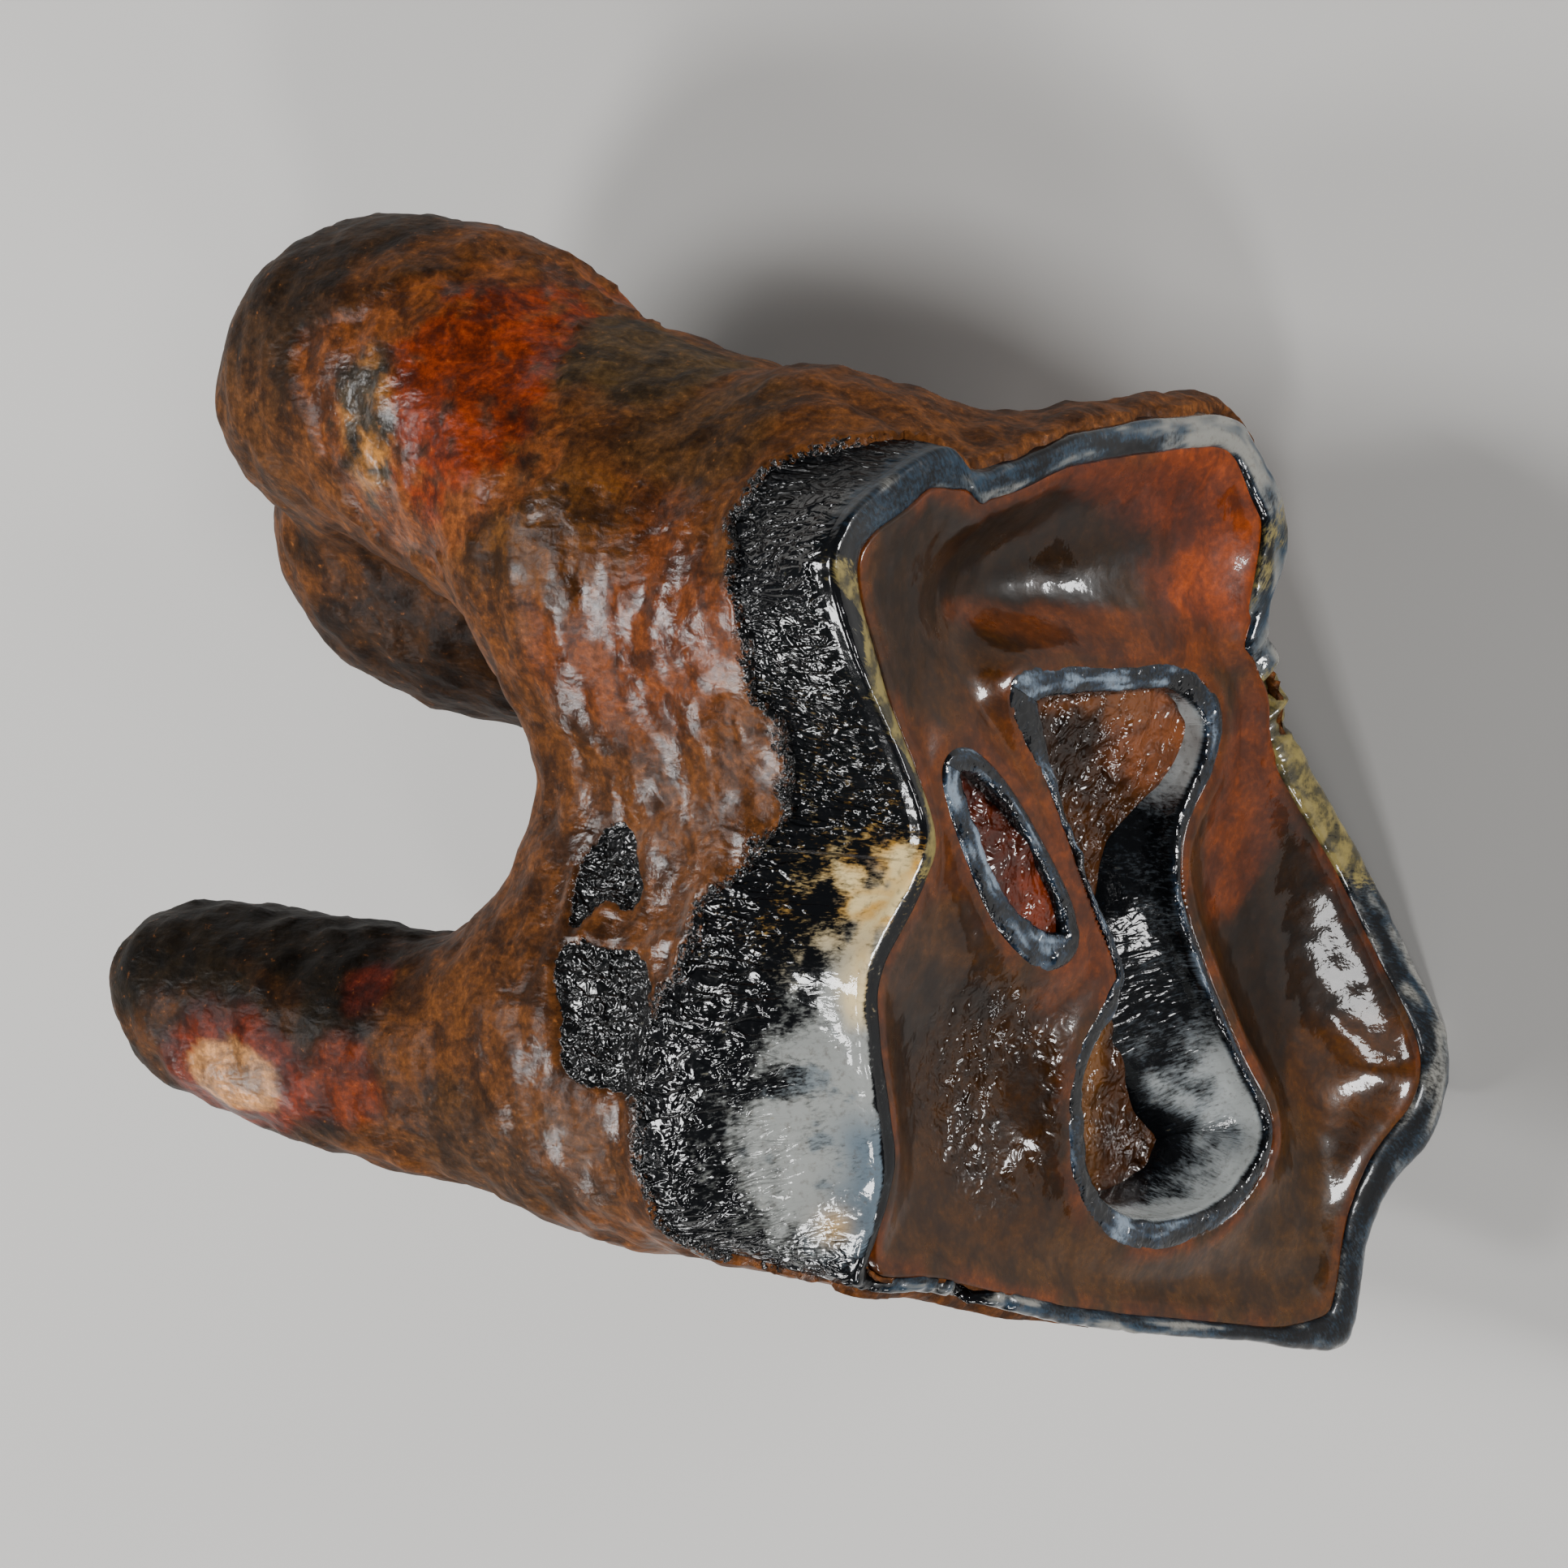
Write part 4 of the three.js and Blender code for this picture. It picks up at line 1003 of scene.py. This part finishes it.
# The cementum over the neck and the roots.
cementum = {
    "nodes": ["neck", "root_distolingual", "root_distobuccal", "root_mesiolingual", "root_mesiobuccal"],
    "stepX": 0.5, "stepY": 0.44, "stepZ": (0.34, 0.55), "fineDepth": 22,
    "rimDepth": 0.7,  # where its upper end lies under the crown wall
    "wall": 1.1,  # its thickness where the crown is hollowed inside, down to hollowDepth
    "hollowDepth": 7.4,
    "coat": 0.3,  # how far it stands over the enamel
    "tuck": 0.9,  # how far it dips under the enamel above its edge
    "lip": (0.7, 0.8, 0.25),  # ridge along its edge: how far below it, reach, height
    "lumps": (0.23, 0.12),  # quick ones and slow ones
    "flakedDrop": 0.3,
    "bareDrop": 0.32,
    # outlines in y and z of the places where the enamel shows through, and of the flaked root patch
    "windows": [
        [(-6.9, -19.9), (-6.2, -17.6), (-7.1, -13.9), (-13.4, -12.5), (-14.4, -14.1), (-13.5, -18.3),
         (-10.4, -19.2)],
        [(0.7, -18.5), (-1.3, -16.7), (-3.9, -16.2), (-3.8, -18.5), (-5.5, -19.9), (-3.5, -20.2),
         (-1.6, -20.3)],
    ],
    "flaked": [
        (26.7, -44), (29.2, -40.1), (31.2, -35.3), (33, -33.3), (30.2, -28.4), (26.5, -25.7),
        (21.1, -22.2), (18.7, -24), (15, -31), (15.7, -38.4), (18.8, -40.6), (20.6, -41.3),
        (24.3, -42.7),
    ],
    # y, z, reach y, reach z
    "wetSpot": (-17, -45, 2, 4),
    "wetScar": (22.5, -37, 5, 3.5),
    "flakedHeart": (24.5, -30.5, 6.5, 5.5),
    "scar": (22.5, -37, 4.5, 2.6),
    "oval": (-16.3, -44.2, 2.1, 3.5),
    "stainAndShade": (77, 43, 15),
    "patches": [
        # Painted shade: the first patch on the next line darkens the far, outer edge of the back roots.
        (2, 31, -50, 16, 9, 12, (33, 22, 10), 0.9), (-4, 22, -52, 8, 8, 8, (62, 38, 16), 0.6),
        # Painted shade: the patches on the next line darken the back root that lies behind, and the gap
        # between the roots.
        (20, 18, -48, 13, 14, 19, (34, 20, 6), 0.95), (12, 8, -46, 14, 8, 16, (40, 22, 6), 0.95),
        (0, 30, -22, 9, 6, 7, (52, 40, 20), 0.85), (-1, 23, -14, 6, 4, 5, (60, 40, 18), 0.7),
        (-4, 12, -16, 6, 7, 8, (92, 42, 10), 0.7), (-3, 16, -22, 6, 4, 6, (70, 42, 10), 0.7),
        # Painted shade: the second patch on the next line darkens the front root on the tongue side
        # nearly to black.
        (4, 5, -24, 8, 6, 6, (70, 38, 10), 0.7), (2, -11, -48, 12, 10, 17, (18, 13, 5), 0.97),
        (6, -18, -26, 12, 5, 10, (52, 32, 12), 0.8), (-4, -16, -35.4, 3, 2.4, 3.2, (84, 30, 2), 0.95),
        (-3, -10.2, -35, 3, 1.6, 1.6, (70, 20, 8), 0.9),
        (-5, -16, -44.6, 4, 4.0, 5.4, (84, 26, 4), 0.95), (35, -14, -45, 10, 10, 16, (50, 34, 16), 0.8),
        (30, -18, -20, 24, 9, 12, (56, 34, 13), 0.8),
    ],
    "shades": {
        "flaked": (92, 48, 16), "heart": (100, 33, 2), "scar": (140, 92, 40), "scarDark": (50, 40, 26),
        "crack": (44, 34, 22), "oval": (140, 96, 56),
    },
}


# Direction in which the tooth's field rises, from its differences over a small step.
def fieldSlope(points):
    slope = []
    for shift in 0.2 * np.eye(3):
        slope.append(toothField(*(points + shift).T) - toothField(*(points - shift).T))
    normal = np.stack(slope, 1)
    return normal / np.linalg.norm(normal, axis=1)[:, None]


# Skin of the tooth's field, hollowed inside the crown so that only its rim is left there. Points
# move along the slope: out by coat, lip and lumps where cementum covers, in by the tuck above its
# edge. None goes under the floor.
def buildCementum():
    c = cementum
    fine, coarse = c["stepZ"]
    axes = [np.arange(-12, 60, c["stepX"]), np.arange(-31, 40, c["stepY"]),
            np.concatenate([np.arange(-63.5, -c["fineDepth"], coarse),
                            np.arange(-c["fineDepth"], 0.6, fine)])]
    x, y, z = axes[0][:, None, None], axes[1][None, :, None], axes[2][None, None, :]
    field = np.maximum(toothField(x, y, z), z + c["rimDepth"]).astype(np.float32)
    hollow = np.maximum(trunkField(x, y, z) + c["wall"], -c["hollowDepth"] - z)
    points, faces = fieldSkin(axes, np.maximum(field, -hollow))
    angle = np.arctan2(points[:, 1] - form["axis"][1], points[:, 0] - form["axis"][0])
    ragged = 0.5 * noise(points, 1.6, 51, 3) + 0.5 * noise(points, 4.0, 52, 2)
    below = -points[:, 2] - aroundCrown(cementumEdge, angle) + ragged
    drawn = points * (1, 0.5, 1)  # lumps are longer round the neck than along it
    quick, slow = c["lumps"]
    lumps = quick * noise(drawn, 1.7, 53, 2) + slow * noise(points, 4.5, 54, 2)
    lumps -= c["flakedDrop"] * regionMask(points, c["flaked"], 0.7, 0.2, 57)
    lumps *= ramp(0, 2, below)
    bare = windowMask(points)
    lipAt, lipReach, lipHeight = c["lip"]
    proud = c["coat"] + lipHeight * hump(below, lipAt, lipReach) + lumps - c["bareDrop"] * bare
    lift = lerp(-c["tuck"], proud, ramp(-0.35, 0.35, below))
    lift = lift * ramp(-0.6, -0.2, toothField(*points.T))
    points = points + fieldSlope(points) * lift[:, None]
    # black enamel shows through the thin upper edge on the tongue side
    lingual = np.degrees(angle) % 360
    feather = 0.62 * ramp(1.8, 0.1, below) * between(lingual, (126, 136), (228, 234))
    masks = {"stainAndShade": cementumStainAndShade(points), "bare": np.maximum(bare, feather), "wet": wetMask(points)}
    sunk = np.minimum(placePoints(points)[:, 2] * 1000, 0)
    points = points - sunk[:, None] * unit(restPose["up"])
    addPiece("cementum_skin", points, [faces], masks, c["nodes"], "cementum")


# 1 inside an outline in y and z on the tongue side, 0 outside; the noise frays its edge.
def regionMask(points, outline, ragged, soft, seed):
    away = np.full(len(points), 9.0)
    y, z = np.array(outline).T
    middle, reach = (y.mean(), z.mean()), (14, 16)
    near = (points[:, 0] < 12) & (abs(points[:, 1:] - middle) < reach).all(1)
    some = points[near]
    wobble = ragged * noise(some, 1.6, seed, 4)
    away[near] = lineDistance(some[:, 1], some[:, 2], closedCurve(outline, 80)) + wobble
    return ramp(soft, -soft, away)


# 1 where the enamel shows through either window.
def windowMask(points):
    masks = [regionMask(points, outline, 0.35, 0.2, 55) for outline in cementum["windows"]]
    return np.maximum(*masks)


# Wet gloss: in drops over the upper tongue side, and in spots and a scar on the flaked patch.
def wetMask(points):
    c = cementum
    x, y, z = points.T
    upper = ramp(-27, -19, z) * ramp(22, 16, y) * ramp(14, 6, x)
    upper = upper * (0.3 + 0.7 * ramp(-21.5, -17, y))
    drops = noise(points * (1, 0.75, 1.3), 1.7, 59, 3) + 0.5 * noise(points, 4.5, 60, 2)
    upper = upper * (0.1 + 0.9 * ramp(-0.05, 0.4, drops))
    patch = regionMask(points, c["flaked"], 0.5, 0.4, 57)
    spots = ramp(0.1, 0.5, noise(points, 2.4, 58, 3))
    spot = np.exp(-ovalAway(y, z, c["wetSpot"]) ** 2)
    scar = np.exp(-ovalAway(y, z, c["wetScar"]) ** 2)
    return np.clip(0.06 + 0.94 * upper + (0.3 * spots + scar) * patch + 0.8 * spot, 0, 1)


# The patches, stains and painted shade on the roots, then the flaked patch with its orange heart, pale
# scar and dark cracks, then the pale oval on the front root, each frayed by the mottle.
def cementumStainAndShade(points):
    c = cementum
    shades = c["shades"]
    x, y, z = points.T
    colour = layStainsAndShade(points, c["stainAndShade"], c["patches"], 4.0, 61)
    mottle = noise(points, 1.4, 62, 4)
    heart = ramp(1.15, 0.85, ovalAway(y, z, c["flakedHeart"]) + 0.3 * mottle)
    bright = overlay(pointTint(*shades["flaked"]), shades["heart"], heart)
    scar = overlay(pointTint(*shades["scar"]), shades["scarDark"], ramp(0.0, -0.3, mottle))
    scarred = ramp(1.2, 0.7, ovalAway(y, z, c["scar"]) + 0.3 * mottle)
    bright = lerp(bright, scar, scarred[:, None])
    bright = overlay(bright, shades["crack"], 0.7 * ramp(-0.6, -0.8, mottle))
    colour = lerp(colour, bright, regionMask(points, c["flaked"], 0.7, 0.15, 57)[:, None])
    oval = ramp(1.08, 0.96, ovalAway(y, z, c["oval"]) + 0.08 * mottle) * (x < 2)
    return lerp(colour, pointTint(*shades["oval"]) * (1 + 0.25 * mottle[:, None]), oval[:, None])


buildCementum()
buildCrownWall()
buildDentine()
buildRing(valleyRing, ["valley_enamel"], 71)
buildRing(fossetteRing, ["fossette_enamel"], 81)
buildInfill(infills["valley"], 91)
buildInfill(infills["fossette"], 95)
print("tooth built")

# Floor, lights and camera.
studio = {
    "floorRadius": 4.0,  # metres
    "floorSides": 96,
    "floorColour": (0.42, 0.41, 0.395, 1.0),
    "floorRough": 0.7,
    "worldColour": (0.75, 0.77, 0.8, 1.0),
    "worldStrength": 0.1,
    "litPoint": (10.0, 2.0, -20.0),  # what the lights are turned to, tooth frame
    # direction from the tooth in the camera's frame (right, up, back), distance, size, power
    "boxes": {
        "left": ((-0.9, 0.08, 0.42), 0.7, (0.18, 0.22), 5.4),
        "glaze": ((-0.82, -0.38, 0.42), 0.7, (0.12, 0.14), 1.9),
        "side": ((-0.75, -0.65, 0.05), 0.7, (0.14, 0.18), 2.8),
        "right": ((0.80, 0.25, 0.55), 0.75, (0.18, 0.2), 8.0),
        "low": ((0.43, -0.80, 0.40), 0.75, (0.12, 0.16), 1.9),
        "front": ((0.68, -0.56, 0.50), 0.75, (0.08, 0.13), 1.3),
        "below": ((-0.05, -0.74, 0.67), 0.75, (0.12, 0.16), 2.0),
    },
}
viewFrame = {
    "pixels": 1932,
    "scale": 0.0464,  # millimetres to a pixel at the aim distance
    "aim": 330.0,  # distance of the camera, millimetres
    "elevation": 42.0,  # of the view over the plane of the chewing surface, from the tongue side
    "roll": 5.0,
    "raise": 15.0,  # how far the aim lies in front of the tooth frame's origin
    "middle": (1080.0, 1060.0),  # pixel at which the tooth frame's origin lies
    "sensor": 36,  # millimetres
}


# The camera's right, up and back in the tooth frame, as columns, and the point it looks at, which
# puts the frame's origin at its pixel.
def cameraAxes():
    v = viewFrame
    e, roll = math.radians(v["elevation"]), math.radians(v["roll"])
    back = np.array([-math.cos(e), 0, math.sin(e)])
    level = np.array([math.sin(e), 0, math.cos(e)])
    right = math.cos(roll) * level + math.sin(roll) * np.array([0, 1, 0])
    up = np.cross(back, right)
    shrink = (v["aim"] - v["raise"]) / v["aim"] * v["scale"]
    half = v["pixels"] / 2
    aside, over = (v["middle"][0] - half) * shrink, (half - v["middle"][1]) * shrink
    target = -(aside * right + over * up + v["raise"] * back)
    return np.stack([right, up, back], 1), target


# Puts an object at a place in metres, with the columns of turn as its axes.
def standAt(thing, place, turn):
    thing.matrix_world = Matrix.Translation(place.tolist()) @ Matrix(turn.tolist()).to_4x4()


# Lens = sensor * distance / width of the view at that distance.
def addCamera():
    v = viewFrame
    axes, target = cameraAxes()
    data = bpy.data.cameras.new("studioCamera")
    data.sensor_width = v["sensor"]
    data.lens = v["sensor"] * v["aim"] / (v["pixels"] * v["scale"])
    data.clip_start = 0.01
    camera = addObject("studioCamera", data)
    standAt(camera, placePoints((target + v["aim"] * axes[:, 2])[None])[0], toRow @ axes)
    bpy.context.scene.camera = camera


# Each light stands at its distance from the lit point and faces it, with a level upper edge.
def addLights():
    axes = cameraAxes()[0]
    middle = placePoints(np.array([studio["litPoint"]]))[0]
    for name, (way, distance, size, power) in studio["boxes"].items():
        data = bpy.data.lights.new(name + "Box", "AREA")
        data.shape = "RECTANGLE"
        data.size, data.size_y = size
        data.energy = power
        z = unit(toRow @ (axes @ np.array(way)))
        x = unit(np.cross([0, 0, 1], z))
        turn = np.stack([x, np.cross(z, x), z], 1)
        standAt(addObject(name + "Box", data), middle + z * distance, turn)
    world = bpy.data.worlds.new("studio")
    world.use_nodes = True
    sky = world.node_tree.nodes["Background"]
    sky.inputs["Color"].default_value = studio["worldColour"]
    sky.inputs["Strength"].default_value = studio["worldStrength"]
    bpy.context.scene.world = world


# A flat disc as the floor, with a pale finish.
def addFloor():
    angle = np.arange(studio["floorSides"]) * 2 * math.pi / studio["floorSides"]
    ring = rowPoints(np.cos(angle), np.sin(angle), 0) * studio["floorRadius"]
    mesh = bpy.data.meshes.new("studioFloor")
    mesh.from_pydata(ring.tolist(), [], [list(range(len(ring)))])
    floor = addObject("studioFloor", mesh)
    material, shader = startFinish("paleFloor")
    plug(shader, {"Base Color": studio["floorColour"], "Roughness": studio["floorRough"]})
    mesh.materials.append(material)


addCamera()
addLights()
addFloor()
print("studio set")
